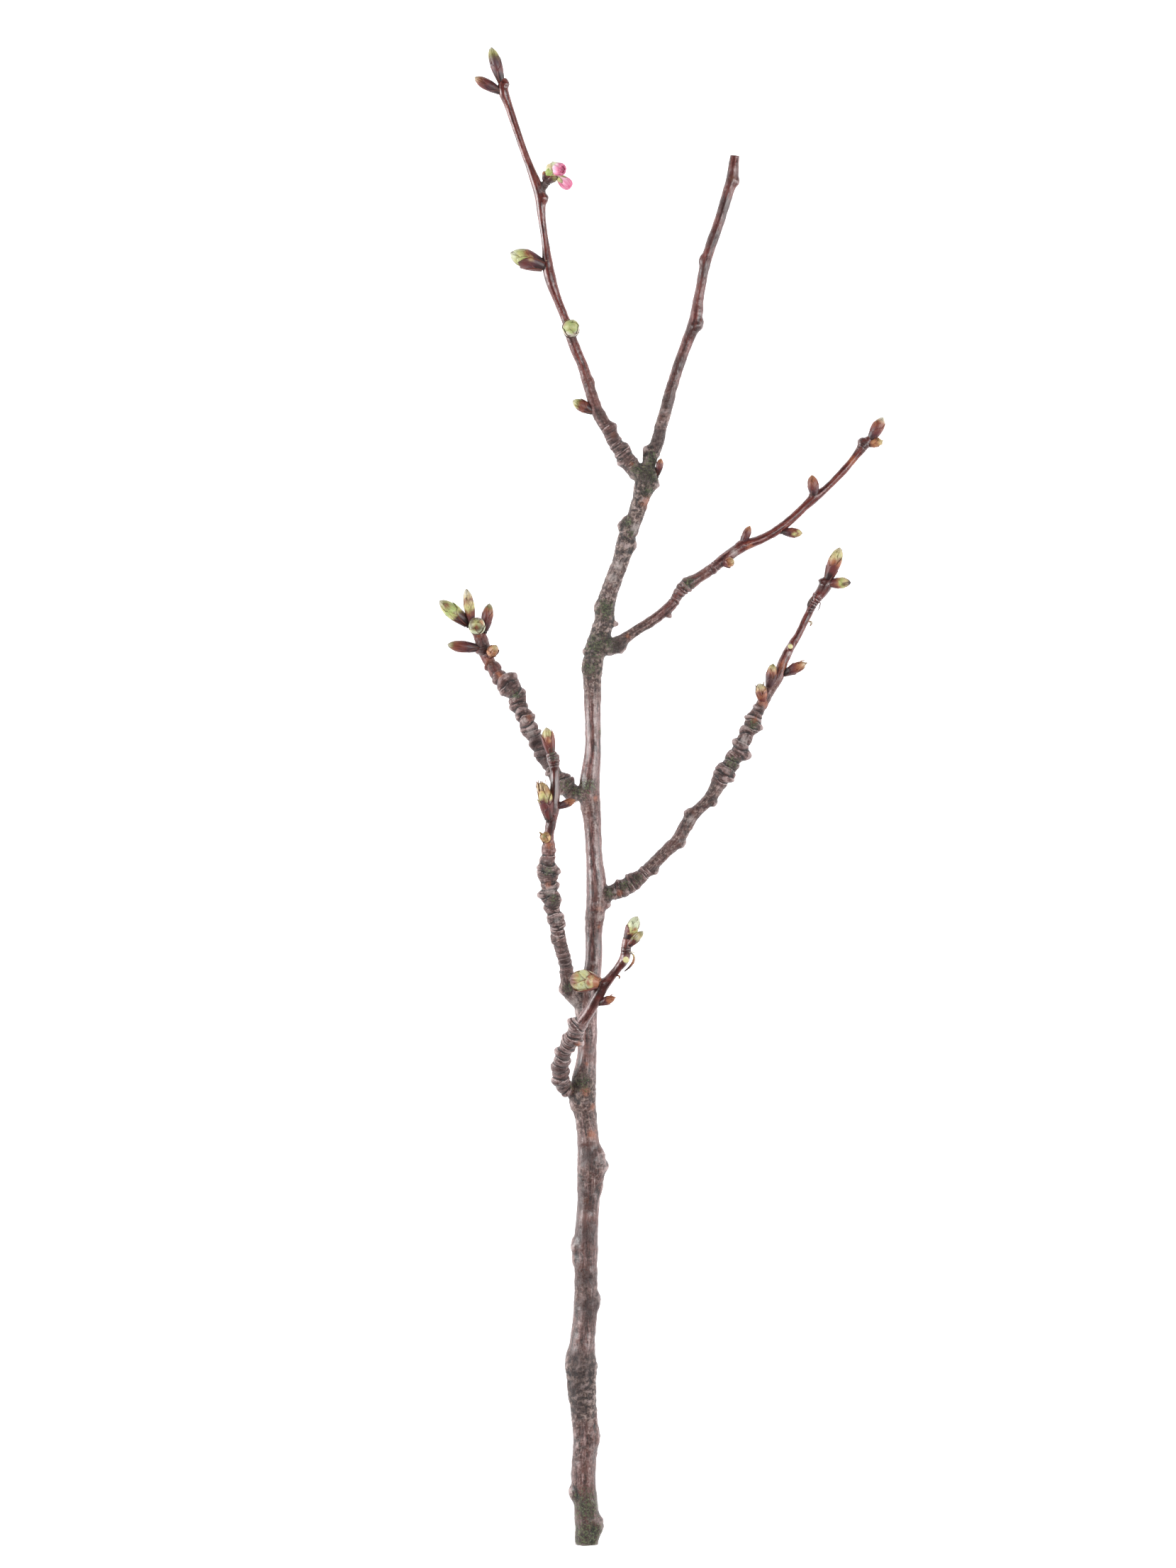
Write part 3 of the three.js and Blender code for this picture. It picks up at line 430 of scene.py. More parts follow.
# The lower right shoot: old and knobbly for half its length, thin beyond.
grow(
    "lower_right_shoot", sides=28, spacing=0.3, rough=(1.3, 0.9, 0.8, 0.9, 1.1, 0.9, 0.5, 0.4, 0.2),
    age=(1, 1, 0.85, 0.75, 0.8, 1, 0.9, 0.5, 0.25, 0.1, 0.3),
    ringed=[[4, 20, 1.4, 2.8, 0.15, 0.4], [58, 90, 1.8, 3.6, 0.22, 0.8], [128, 135, 0.8, 1.5, 0.15, 0.2]],
    route=[
        [4.0, 229.5, 9.4, 3.0], [7.0, 230, 9.5, 2.8], [10.5, 230.8, 9.5, 2.8], [15.3, 233.3, 9.5, 2.9],
        [18.3, 235.8, 9.4, 2.5], [23.5, 240.8, 9.1, 2.2], [27.5, 244.8, 8.8, 2.2], [31.3, 248.5, 8.5, 2.3],
        [34.0, 253, 8.2, 2.25], [36.8, 257.5, 7.9, 2.4], [40.0, 260.5, 7.6, 2.1], [43.3, 263.8, 7.3, 2.3],
        [45.8, 268, 7.0, 2.6], [48.3, 272.3, 6.7, 2.9], [50.5, 276.3, 6.4, 2.7], [53.0, 279.5, 6.1, 3.1],
        [55.0, 284.3, 5.7, 2.5], [57.8, 289.5, 5.3, 2.7], [59.5, 293.3, 5.0, 2.4], [61.5, 296.8, 4.7, 2.0],
        [64.0, 301.5, 4.3, 2.0], [67.0, 306.3, 3.9, 2.0], [69.3, 312.5, 3.4, 1.65], [71.3, 316.5, 3.1, 1.65],
        [74.0, 320.8, 2.7, 1.3], [77.0, 326.8, 2.2, 1.3], [80.0, 332.8, 1.8, 1.5], [82.3, 336, 1.6, 2.0],
        [84.3, 339.5, 1.7, 2.2], [85.0, 342, 2.1, 1.3],
    ],
    knobs=[
        [14.3, 236, 9.5, 0.9, 1.9], [10.5, 234, 9.5, 0.8, 1.7], [23.5, 237.8, 9, 1.0, 1.7],
        [33.0, 247.3, 8.5, 1.0, 1.7], [35.3, 258.5, 8, 0.8, 1.7], [44.7, 261.5, 7.5, 1.1, 1.6],
        [45.3, 272.8, 7, 1.1, 1.8], [51.4, 270.7, 6.5, 1.2, 1.9], [56.2, 278.5, 6, 1.3, 1.9],
        [53.0, 283, 6, 0.8, 1.8], [60.6, 288, 5, 1.1, 1.8], [57.0, 292, 5.5, 0.9, 1.8],
        [82.5, 340.6, 2.8, 1.2, 1.2], [80.4, 335.2, 2.4, 0.5, 1.2],
    ],
    moss=[
        [7, 230.5, 12, 2.5], [13, 233, 12.3, 2.6], [17.5, 235, 12, 2.0], [51, 276, 9, 3.0],
        [58, 289.5, 8, 2.4],
    ],
    rust=[[11, 230, 12.2, 1.6], [62, 297, 6.8, 2.4], [58.5, 291, 7.5, 1.6], [69, 310, 5.3, 2.4]],
    dark=[[83.5, 338.8, 3.5, 3.4], [54, 281, 8.5, 1.2], [61, 295, 7, 1.5]],
    pale=[[9.4, 230.6, 12.3, 1.0], [36, 256, 10, 2.0], [71, 314.5, 5, 1.3], [55, 284, 8.5, 2.6]],
)

# The upper left spur: stout, ringed from end to end, and crowned with buds.
grow(
    "upper_left_spur", sides=34, spacing=0.26, rough=(1.2, 1.0, 0.9, 0.8),
    age=(1, 1, 1, 1, 1, 0.95, 0.3, 0.05, 0),
    ringed=[[3, 66, 2.2, 4.4, 0.27, 0.95]],
    route=[
        [-0.5, 265, 10.0, 3.3], [-4.5, 265.5, 9.7, 2.9], [-7.5, 267, 9.4, 3.3], [-10.0, 269.5, 9.0, 3.1],
        [-12.5, 273, 8.5, 2.6], [-15.3, 278, 7.8, 2.6], [-18.3, 283.8, 7.1, 2.6], [-20.5, 288, 6.6, 2.6],
        [-22.8, 292.3, 6.0, 2.5], [-24.5, 297.5, 5.3, 2.8], [-26.5, 301.5, 4.7, 3.1],
        [-29.5, 304.8, 4.1, 3.1], [-32.8, 308, 3.3, 2.6], [-35.0, 312, 2.6, 2.4], [-37.0, 316.3, 2.1, 2.6],
        [-38.3, 320.8, 2.4, 2.3], [-40.0, 324, 3.0, 2.1], [-41.8, 326, 3.6, 1.7],
    ],
    knobs=[
        [-6.8, 270, 9, 1.1, 2.0], [-19.5, 293, 6.5, 1.0, 1.8], [-22.0, 302, 5, 1.1, 1.8],
        [-26.0, 306, 4.5, 1.0, 1.8], [-19.0, 277, 8, 1.0, 2.0], [-23.5, 287, 6.5, 1.1, 1.8],
        [-26.5, 296, 5.5, 0.9, 1.8], [-30.8, 301.5, 4.5, 1.2, 2.0],
    ],
    moss=[[-4, 266, 12.5, 2.6], [-8, 268, 12.5, 3.2], [-12, 272, 11.5, 2.4], [-25.5, 300, 8, 2.0]],
    rust=[[-31.5, 307, 6.5, 1.8], [-34.8, 311.8, 5, 2.4], [-21, 292, 9, 1.8], [-38.6, 321.4, 5.4, 2.0]],
    dark=[
        [-37.2, 317, 4.8, 4.0], [-41, 325, 5, 2.4], [-28, 303.5, 7.5, 2.0], [-15.5, 278, 10.4, 5.0],
        [-18.5, 284, 9.8, 3.5], [-34, 311, 5.4, 2.4],
    ],
    pale=[[-20, 286.5, 9.2, 2.0], [-22.5, 291, 8.6, 1.6]],
)

# The middle left spur: it rises off the stem and passes over the upper left one.
grow(
    "middle_left_spur", sides=30, spacing=0.28, rough=(1.0, 0.8, 1.1, 1.2, 1.1, 0.6, 0.2, 0.2),
    age=(1, 1, 0.85, 1, 1, 0.6, 0.15, 0.1, 0.4),
    ringed=[[12, 32, 1.3, 2.6, 0.12, 0.3], [32, 58, 2.4, 4.4, 0.25, 0.85], [86, 93, 0.9, 1.6, 0.15, 0.2]],
    route=[
        [-2.8, 192, 9.0, 3.4], [-6.0, 195.5, 11.0, 2.9], [-7.3, 200, 13.2, 2.6], [-8.0, 205.5, 15.4, 2.4],
        [-9.5, 211.5, 17.4, 2.35], [-11.0, 218, 19.4, 2.35], [-12.0, 223.5, 20.8, 2.4],
        [-13.2, 228.5, 22.0, 2.8], [-13.9, 235.5, 23.4, 3.0], [-14.1, 239, 24.0, 3.0],
        [-13.9, 243.3, 24.7, 2.4], [-13.8, 246, 25.1, 2.5], [-13.8, 249.3, 25.5, 1.8],
        [-13.1, 255, 26.2, 1.9], [-12.3, 260, 26.6, 2.1], [-11.7, 268.8, 27.0, 1.55],
        [-11.8, 273.5, 27.1, 1.5], [-12.3, 277.5, 27.2, 2.2], [-13.1, 279.5, 27.2, 1.6],
    ],
    knobs=[
        [-8.2, 196.5, 12, 1.2, 2.1], [-12.0, 214, 18, 0.8, 1.8], [-14.5, 221, 20.5, 0.9, 1.8],
        [-9.0, 220, 20.5, 0.9, 1.8], [-16.3, 229, 22.5, 1.1, 1.9], [-10.2, 229, 22.5, 1.0, 1.9],
        [-17.2, 239, 24, 1.1, 1.9], [-10.4, 237.5, 24, 1.1, 1.9],
    ],
    moss=[[-7, 197, 14.5, 2.2], [-12, 228, 25, 2.4], [-14, 238, 27, 2.2], [-12.3, 278, 29, 1.8]],
    rust=[[-13.8, 247.2, 27.6, 2.0], [-10.6, 214.5, 20.5, 0.9], [-14, 233, 26.2, 1.5]],
    dark=[
        [-8, 206, 17.5, 3.0], [-13, 277.5, 29, 1.6], [-13.3, 226, 24, 1.8], [-14, 241, 27, 1.5],
        [-13, 254, 28, 3.5], [-12.3, 261, 28.5, 4.5], [-11.8, 268, 28.5, 4.5], [-12, 274, 28.5, 3.0],
    ],
    pale=[[-11, 221, 22.2, 1.8], [-5, 191.5, 12.5, 2.8], [-10.6, 214.5, 20.5, 0.8], [-13.4, 231, 25.5, 2.2]],
)

# The lower left spur: a tight stack of rings that curls up off the stem, then a
# young shoot that crosses over in front of it.
grow(
    "curled_spur", sides=34, spacing=0.24, rough=(0.9, 0.7, 0.7, 0.5, 0.3, 0.2, 0.2),
    age=(1, 1, 1, 1, 1, 0.6, 0.35, 0.35, 0.3, 0.4),
    ringed=[[3, 38, 1.6, 3.2, 0.3, 0.7], [67, 71, 0.8, 1.4, 0.14, 0.2]],
    route=[
        [-2.0, 161, 8.0, 3.2], [-5.5, 160.5, 8.8, 2.7], [-8.2, 161.5, 10.6, 2.8], [-9.6, 164.8, 13.4, 2.9],
        [-9.8, 168.8, 16.2, 2.9], [-9.1, 172.8, 19.0, 2.8], [-7.4, 176.5, 21.6, 2.75],
        [-5.4, 179.8, 24.0, 2.75], [-3.9, 183.2, 26.0, 2.8], [-2.3, 185.5, 27.4, 2.3], [-0.5, 188, 28.6, 2.1],
        [1.8, 191.8, 30.0, 2.0], [4.2, 196.6, 31.2, 2.1], [7.1, 200.4, 32.0, 1.7], [10.3, 204.4, 32.8, 1.5],
        [12.7, 207.9, 33.4, 1.9], [13.2, 211.6, 34.0, 1.8], [13.5, 214.8, 34.4, 1.5],
    ],
    knobs=[
        [-7.9, 179, 21, 1.0, 1.9], [-5.4, 185.5, 26.5, 1.5, 1.5], [-2.4, 178, 25, 1.7, 1.7],
        [4.6, 199.2, 32, 0.8, 1.6], [-11.4, 166.5, 15, 0.6, 1.4], [-2.2, 183.5, 28.5, 0.7, 1.3],
    ],
    moss=[[-5, 162, 12, 2.2], [-3.4, 163.5, 12, 2.2]],
    rust=[[-3.5, 177.5, 26.4, 1.5], [-1.0, 181, 28, 1.6], [-4.2, 176, 25, 1.0], [-5.5, 161, 11.5, 1.6]],
    dark=[
        [-9.6, 169, 19, 2.4], [-8.5, 174, 22, 2.2], [12.7, 205.6, 34.6, 1.8], [13.6, 210.4, 35, 1.8],
        [6, 198.4, 33.6, 2.4], [2, 192, 32, 2.8], [4.2, 195.6, 33, 2.0], [9, 202.6, 34, 2.6],
    ],
)

# The pale stub on its shoot, where a twig was cut off.
grow(
    "cut_stub", sides=24, spacing=0.3, rough=(0.3,), age=(0.2,),
    route=[
        [12.6, 207.6, 33.0, 1.2], [12.9, 207.5, 34.2, 1.3], [13.1, 207.4, 35.0, 1.42],
        [13.1, 207.4, 35.5, 1.45],
    ],
)

# The round scar that a dropped twig has left on the lower right shoot.
grow(
    "twig_scar", sides=20, spacing=0.3, rough=(0.3,), age=(0.3,),
    route=[
        [71.4, 316.6, 2.9, 1.0], [71.4, 316.9, 4.0, 1.15], [71.4, 317.1, 4.85, 1.3], [71.4, 317.1, 5.0, 1.3],
    ],
)

# The short spur that carries the blossom widens to a blunt seat.
grow(
    "blossom_spur", sides=24, spacing=0.2, rough=(0.8,), age=(1, 1, 0.7),
    ringed=[[1, 6, 0.8, 1.4, 0.2, 0.3]],
    route=[
        [-17.0, 475.8, 19.1, 1.6], [-15.8, 477.6, 19.5, 1.3], [-14.9, 479.1, 19.8, 1.45],
        [-13.6, 480.8, 20.2, 1.9],
    ],
    dark=[[-15.5, 478, 21, 6.5]],
)


def joined(name, pieces):
    """One closed piece from pieces that overlap."""
    whole = pieces[0]
    for piece in pieces[1:]:
        union = whole.modifiers.new("union", "BOOLEAN")
        union.operation, union.solver, union.object = "UNION", "MANIFOLD", piece
    shape = whole.evaluated_get(bpy.context.evaluated_depsgraph_get())
    result = bpy.data.objects.new(name, bpy.data.meshes.new_from_object(shape))
    result.data.name = name
    bpy.context.collection.objects.link(result)
    for piece in pieces:
        bpy.data.objects.remove(piece)
    return result


def read(parts, field, kind=np.float32, wide=3):
    """A field of all the points or edges of a mesh, with one row for each."""
    values = np.empty(wide * len(parts), kind)
    parts.foreach_get(field, values)
    return values.reshape(-1, wide)


def nearest(points, targets):
    """For each point, the number of the nearest target and how far away that is."""
    tree = kdtree.KDTree(len(targets))
    for number, target in enumerate(targets):
        tree.insert(target, number)
    tree.balance()
    found = [tree.find(point)[1:] for point in points]
    numbers, away = zip(*found)
    return np.array(numbers), np.array(away)


def eased(values, edges, weight, rounds):
    """Draws each point's values towards those of its neighbours, by its weight."""
    a, b = edges.T
    count = np.bincount(np.r_[a, b], minlength=len(values))[:, None]
    for _ in range(rounds):
        total = np.zeros_like(values)
        np.add.at(total, a, values[b])
        np.add.at(total, b, values[a])
        values = values + EASE * weight[:, None] * (total / count - values)
    return values


def grown(part):
    """One part of what the limbs have kept, for the points of all of them."""
    return np.concatenate([limb[part] for limb in limbs])


wood = joined("wood", [limb["piece"] for limb in limbs])
mesh = wood.data
points = read(mesh.vertices, "co").astype(float)
edges = read(mesh.edges, "vertices", np.int32, 2)
number, away = nearest(points, grown("points"))

# Where two limbs meet, the bark runs over from one to the other in a soft hollow.
seam = points[away > OFF_THE_LIMBS]
weight = np.clip(1.3 * (1 - nearest(points, seam)[1] / SEAM_REACH), 0, 1)
points = eased(points, edges, weight, SEAM_ROUNDS)
points[:, 2] = np.maximum(points[:, 2], FOOT.z)
mesh.vertices.foreach_set("co", points.astype(np.float32).ravel())
masks = {
    mask: np.concatenate([limb["masks"][mask] for limb in limbs])[number] for mask in limbs[0]["masks"]
}
soft = eased(np.column_stack(list(masks.values())), edges, weight, SEAM_ROUNDS)
for mask, values in zip(masks, soft.T):
    write(wood, mask, values)
write(wood, "grain", grown("grain")[number])

# How far each point lies below those around it. The bark's colour uses it for painted shade in
# the hollows, and for a paler top on what stands out, partly worn bark and partly painted highlight.
everywhere = np.ones(len(points))
below = (eased(points, edges, everywhere, NEAR_ROUNDS) - points) * read(mesh.vertices, "normal")
below = np.sum(below, axis=1, keepdims=True)
below -= eased(below, edges, everywhere, FAR_ROUNDS)
write(wood, "hollow", below[:, 0] / (2 * np.std(below)))
mesh.shade_smooth()


class Wire:
    """One value in a material. Sums on it add Math nodes, and node() adds any other node."""

    def __init__(self, tree, socket=None):
        self.tree, self.socket = tree, socket

    def node(self, kind, settings=None, sockets=None, output=0):
        made = self.tree.nodes.new("ShaderNode" + kind)
        for name, setting in (settings or {}).items():
            if name == "stops":
                ramp = made.color_ramp.elements
                for _ in setting[2:]:
                    ramp.new(1.0)
                for element, (position, colour) in zip(ramp, setting):
                    element.position, element.color = position, colour
            else:
                setattr(made, name, setting)
        for name, value in (sockets or {}).items():
            if isinstance(value, Wire):
                self.tree.links.new(value.socket, made.inputs[name])
            else:
                made.inputs[name].default_value = value
        return Wire(self.tree, made.outputs[output] if made.outputs else None)

    def math(self, operation, *values):
        return self.node("Math", {"operation": operation}, dict(enumerate(values)))

    def __add__(self, other):
        return self.math("ADD", self, other)

    def __sub__(self, other):
        return self.math("SUBTRACT", self, other)

    def __rsub__(self, other):
        return self.math("SUBTRACT", other, self)

    def __mul__(self, other):
        return self.math("MULTIPLY", self, other)

    __radd__, __rmul__ = __add__, __mul__

    def between(self, start, end):
        """0 up to start and 1 from end on, with an even slope between."""
        return self.node("MapRange", {}, {"Value": self, "From Min": start, "From Max": end})

    def ramp(self, *stops):
        """The colour that this value has between stops of (value, colour)."""
        return self.node("ValToRGB", {"stops": stops}, {"Fac": self})

    def carried(self, name, output=2):
        """What each point of the mesh carries: a colour (0), a vector (1) or a number (2)."""
        return self.node("Attribute", {"attribute_name": name}, output=output)

    def stretched(self, factors):
        """A vector times three factors."""
        return self.node("VectorMath", {"operation": "MULTIPLY"}, {0: self, 1: factors})

    def noise(self, scale, detail=3.0, roughness=0.55):
        """A cloudy pattern over a vector, about 0.5."""
        sockets = {"Vector": self, "Scale": scale, "Detail": detail, "Roughness": roughness}
        return self.node("TexNoise", {}, sockets)

    def blend(self, share, first, second):
        """A first colour with a share of a second."""
        return self.node("Mix", {"data_type": "RGBA"}, {0: share, 6: first, 7: second}, output=2)

    def mixed(self, colour, share):
        """This colour with a share of another."""
        return self.blend(share, self, colour)


def paint(hexadecimal):
    """A colour written as on a paint card, as the linear colour that a shader takes."""
    parts = [int(hexadecimal[k:k + 2], 16) / 255 for k in (0, 2, 4)]
    return (*[((c + 0.055) / 1.055) ** 2.4 if c > 0.04 else c / 12.92 for c in parts], 1.0)


def new_material(name):
    """An empty material, and the wire that its nodes are added through."""
    material = bpy.data.materials.new(name)
    material.use_nodes = True
    material.node_tree.nodes.clear()
    return material, Wire(material.node_tree)


def coated(wire, sockets):
    """Ends a material in one glossy or dull surface."""
    wire.node("OutputMaterial", {}, {"Surface": wire.node("BsdfPrincipled", {}, sockets)})


YOUNG_DARK = paint("2c0b0b")
YOUNG_RED = paint("5f241d")
YOUNG_SILVER = paint("8a5c55")
PORE = paint("b59a84")
OLD_DARK = paint("1f1210")
OLD_BROWN = paint("472a26")
OLD_GREY = paint("6a4b47")
OLD_LIGHT = paint("ab928f")
OLD_WARM = paint("62392f")
CRUST_DARK = paint("1d1413")
CRUST_MIDDLE = paint("4b3832")
CRUST_LIGHT = paint("938077")
LIP_PALE_AND_HIGHLIGHT = paint("b9a4a1")
GROOVE_DARK_AND_SHADE = paint("140b0b")
SHED = paint("96573a")
ALGAE = paint("10150b")
ALGAE_PALE = paint("626c49")
SILVER_FILM_AND_HIGHLIGHT = paint("aca19d")
STAIN = paint("26100f")
CUT_WOOD = paint("cdc893")
CUT_DARK = paint("937f52")

# Patterns along the grain, in millimetres round and along a limb, and others that lie
# all ways on it. Each is about 0.5, so what is over or under that adds or takes away.
bark, wire = new_material("bark")
grain = wire.carried("grain", 1)
around = wire.node("TexCoord", output=3).stretched((1 / MM, 1 / MM, 1 / MM))
streaks = grain.stretched((1.3, 1.3, 0.15)).noise(1.0, 3)
fibres = grain.stretched((3.2, 3.2, 0.5)).noise(1.0, 4, 0.65)
wrinkles = grain.stretched((0.3, 0.3, 1.7)).noise(1.0, 3, 0.6)
mottle = around.noise(1.3, 4, 0.65)
flakes = around.noise(0.8, 5, 0.66)
tufts = around.noise(1.4, 3, 0.6)
blotches = around.noise(0.16, 3)
age = (wire.carried("age") + 0.5 * (blotches - 0.5)).between(0.3, 0.75)
crust, ring = wire.carried("crust"), wire.carried("ring")
lips, hollow = wire.carried("lips"), wire.carried("hollow")

# Young bark: red-brown, with a silvery skin in long streaks and a few pale pores.
young = 0.6 * streaks + 0.2 * fibres + 0.2 * mottle
young = young.ramp((0.4, YOUNG_DARK), (0.53, YOUNG_RED), (0.72, YOUNG_SILVER))
pores = wire.node(
    "TexVoronoi", {}, {"Vector": grain.stretched((0.5, 0.5, 1.0)), "Scale": 0.34, "Randomness": 1.0}
)
pore = 1 - pores.between(0.04, 0.075)
young = young.mixed(PORE, 0.8 * pore)

# Old bark: streaked grey and brown where it is smooth, a mottled crust where it is rough.
old = 0.45 * streaks + 0.3 * fibres + 0.25 * mottle
old = old.ramp((0.42, OLD_DARK), (0.48, OLD_BROWN), (0.54, OLD_GREY), (0.62, OLD_LIGHT))
old = old.mixed(OLD_WARM, 0.6 * blotches.between(0.5, 0.62))
crusted = 0.55 * flakes + 0.2 * fibres + 0.25 * mottle
crusted = crusted.ramp((0.45, CRUST_DARK), (0.5, CRUST_MIDDLE), (0.57, CRUST_LIGHT))
old = old.mixed(crusted, (crust + 2 * (mottle - 0.5)).between(0.4, 1.4))

# Rings: fine wrinkles round the limb, with painted shade in the groove and a painted highlight on the lip of
# each one.
wrinkled = 0.75 * wrinkles + 0.25 * mottle
wrinkled = wrinkled.ramp((0.38, GROOVE_DARK_AND_SHADE), (0.48, OLD_BROWN), (0.57, OLD_GREY), (0.68, LIP_PALE_AND_HIGHLIGHT))
old = old.mixed(wrinkled, 0.75 * ring)
colour = young.mixed(old, age)
# Painted shade in the hollows of the bark, and a paler top on raised bark, partly wear and partly painted
# highlight.
colour = colour.mixed(LIP_PALE_AND_HIGHLIGHT, 0.5 * age * (-1 * hollow + 1.2 * (mottle - 0.5)).between(0.3, 1.3))
colour = colour.mixed(GROOVE_DARK_AND_SHADE, (0.4 + 0.55 * age) * (hollow + 1.2 * (mottle - 0.5)).between(0.2, 1.2))
# Painted shade in each ring's groove, and a painted highlight on its lip.
colour = colour.mixed(GROOVE_DARK_AND_SHADE, 0.8 * (-1 * lips).between(0.1, 0.8))
colour = colour.mixed(LIP_PALE_AND_HIGHLIGHT, 0.9 * (lips * (3 * mottle - 0.6)).between(0.25, 0.7))

# What time and weather have left on it in places: warm bark laid bare where a flake was
# shed, a silvery film, green algae and dark stains. The silvery film also carries the painted
# highlight stripes. Last, the pale wood of a cut end.
shed = (wire.carried("rust") + 1.6 * (mottle - 0.5) + 0.9 * (streaks - 0.5)).between(0.35, 1.1)
colour = colour.mixed(SHED, 0.8 * shed)
# The silvery film, with the painted highlight stripes in it.
silver_and_highlight = (wire.carried("pale") + 1.3 * (streaks - 0.5) + 1.3 * (mottle - 0.5)).between(0.35, 1.2)
colour = colour.mixed(SILVER_FILM_AND_HIGHLIGHT, 0.75 * silver_and_highlight)
green = (wire.carried("moss") + 2.2 * (mottle - 0.5) + 1.8 * (tufts - 0.5)).between(0.45, 0.95)
colour = colour.mixed(wire.blend(tufts.between(0.45, 0.63), ALGAE, ALGAE_PALE), 0.8 * green)
stain = (wire.carried("dark") + 1.6 * (mottle - 0.5)).between(0.25, 0.9)
colour = colour.mixed(STAIN, 0.7 * stain)
wood_rings = wire.node(
    "TexWave", {"wave_type": "RINGS", "rings_direction": "Z"},
    {"Vector": grain, "Scale": 0.9, "Distortion": 1.2, "Detail": 2.0},
)
cut_face = wire.blend(0.3 * wood_rings, CUT_WOOD, CUT_DARK)
colour = colour.mixed(cut_face, wire.carried("cut").between(0.3, 0.6))

relief = age * (0.4 * streaks + 0.3 * fibres) + crust * (0.7 * flakes + 0.4 * mottle)
relief = relief + 0.8 * ring * wrinkles + 0.15 * mottle + 0.1 * lips + 0.8 * green * tufts
relief = relief - 0.25 * pore * (1 - age)
coated(wire, {
    "Base Color": colour,
    "Roughness": 0.2 + 0.06 * age + 0.07 * crust + 0.05 * ring + 0.2 * green + 0.16 * fibres,
    "Normal": wire.node("Bump", {}, {"Strength": 0.9, "Distance": 0.55 * MM, "Height": relief}),
    "Specular IOR Level": 0.4, "Sheen Weight": 0.1,
    "Coat Weight": 0.4 * (1 - crust.between(0.2, 1.0)), "Coat Roughness": 0.22,
})
wood.data.materials.clear()
wood.data.materials.append(bark)
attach(wood, "root")
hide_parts("branch")


# ---- Winter buds -----------------------------------------------------------
# Thirty-one buds sit at the ends and on the sides of the shoots. Each is a core of
# folded leaves in a wrap of dry overlapping scales. The scales are brown at the
# foot, and green or straw where the bud has begun to swell and push them apart.

SHADES = {
    "slate": paint("2a1719"), "umber": paint("4a3128"), "plum": paint("40222a"), "maroon": paint("5e2b2b"),
    "chestnut": paint("733b2b"), "rust": paint("955c3e"), "amber": paint("a97a54"), "ochre": paint("b49961"),
    "straw": paint("bbaa7b"), "cream": paint("ccc3ab"), "bone": paint("bab5a1"), "olive": paint("7f7a45"),
    "lime": paint("b3b074"), "leaf": paint("9bab66"), "mint": paint("bbc19f"), "sap": paint("8a9c50"),
}
# The next scale up a bud stands this far round it from the last.
SPIRAL = np.radians(137.5)
SCALE_GRID = (11, 9)
SCALE_THICKNESS = 0.1
# How far a bud's core goes down into the wood.
BUD_ROOT = 1.2
CORE_GRID = (16, 21)
CORE_WALL = 0.9
STRAND_GRID = (6, 3)
STRAND_THICKNESS = 0.1
# How far in from its edge a sheet is rimmed, as a part of its half width.
RIM = 0.16
# Lumps that make a scale's colours ragged, and the edges of its spots.
RAGGED, SPOT_RAGGED = 0.9, 0.6


def shaded(shades, at):
    """The colour at each place, from a row of shades named from the foot to the tip."""
    row = np.array([SHADES[name][:3] for name in shades.split()])
    stops = np.linspace(0, 1, len(row))
    return np.stack([np.interp(at, stops, row[:, k]) for k in range(3)], axis=-1)


def plump(along):
    """How wide a bud is at a part of its length, as a part of its radius."""
    along = np.clip(along, 0, 1)
    return (0.5 + 1.2 * along) * (1 - along**2.3) ** 0.72


def axes(base, tip):
    """A bud's foot, its length and its three directions: along it, up from it, and to its side."""
    base, tip = np.array(base, float), np.array(tip, float)
    length = np.linalg.norm(tip - base)
    ahead = (tip - base) / length
    up = np.array([0.0, 0.0, 1.0]) - ahead[2] * ahead
    if np.linalg.norm(up) < 0.3:
        up = np.array([0.0, 1.0, 0.0]) - ahead[1] * ahead
    up /= np.linalg.norm(up)
    return base, length, ahead, up, np.cross(ahead, up)


def spread(grid, foot=0.0, left=-1.0, right=1.0):
    """The places on a sheet of so many rows and columns: along it, and across it."""
    return np.meshgrid(np.linspace(foot, 1, grid[0]), np.linspace(left, right, grid[1]), indexing="ij")


def near_edge(along, across, inset=RIM):
    """1 on the side and tip edges of a sheet, down to 0 a little way in."""
    return np.clip(np.maximum(np.abs(across) - (1 - inset), along - (1 - 0.6 * inset)) / inset, 0, 1)


class Sheets:
    """Thin closed shells gathered into one piece, each with its colours, rims and veins."""

    def __init__(self):
        self.points, self.faces, self.values = [], [], {"tint": [], "rim": [], "vein": []}
        self.count = 0

    def add(self, outer, inner, tint, rim, vein):
        """Adds a shell between two grids of points, closed round its edge."""
        rows, columns = outer.shape[:2]
        one_side = rows * columns
        self.points += [outer.reshape(-1, 3), inner.reshape(-1, 3)]
        for name, grid in (("tint", tint), ("rim", rim), ("vein", vein)):
            flat = grid.reshape(one_side, -1)
            self.values[name] += [flat, flat]
        front = np.arange(one_side).reshape(rows, columns) + self.count
        for row in range(rows - 1):
            for column in range(columns - 1):
                a, b = front[row, column], front[row, column + 1]
                c, d = front[row + 1, column + 1], front[row + 1, column]
                self.faces.append((a, b, c, d))
                self.faces.append((a + one_side, d + one_side, c + one_side, b + one_side))
        edge = [*front[0], *front[1:, -1], *front[-1, -2::-1], *front[-2:0:-1, 0]]
        for a, b in zip(edge, edge[1:] + edge[:1]):
            self.faces.append((a, a + one_side, b + one_side, b))
        self.count += 2 * one_side

    def piece(self, name):
        """The piece that all the shells make together."""
        faces = [tuple(map(int, face)) for face in self.faces]
        made = new_piece(name, place(np.concatenate(self.points)), faces)
        write(made, "tint", np.concatenate(self.values["tint"]))
        write(made, "vein", np.concatenate(self.values["vein"]))
        write(made, "rim", np.concatenate(self.values["rim"])[:, 0])
        return made


buds = Sheets()


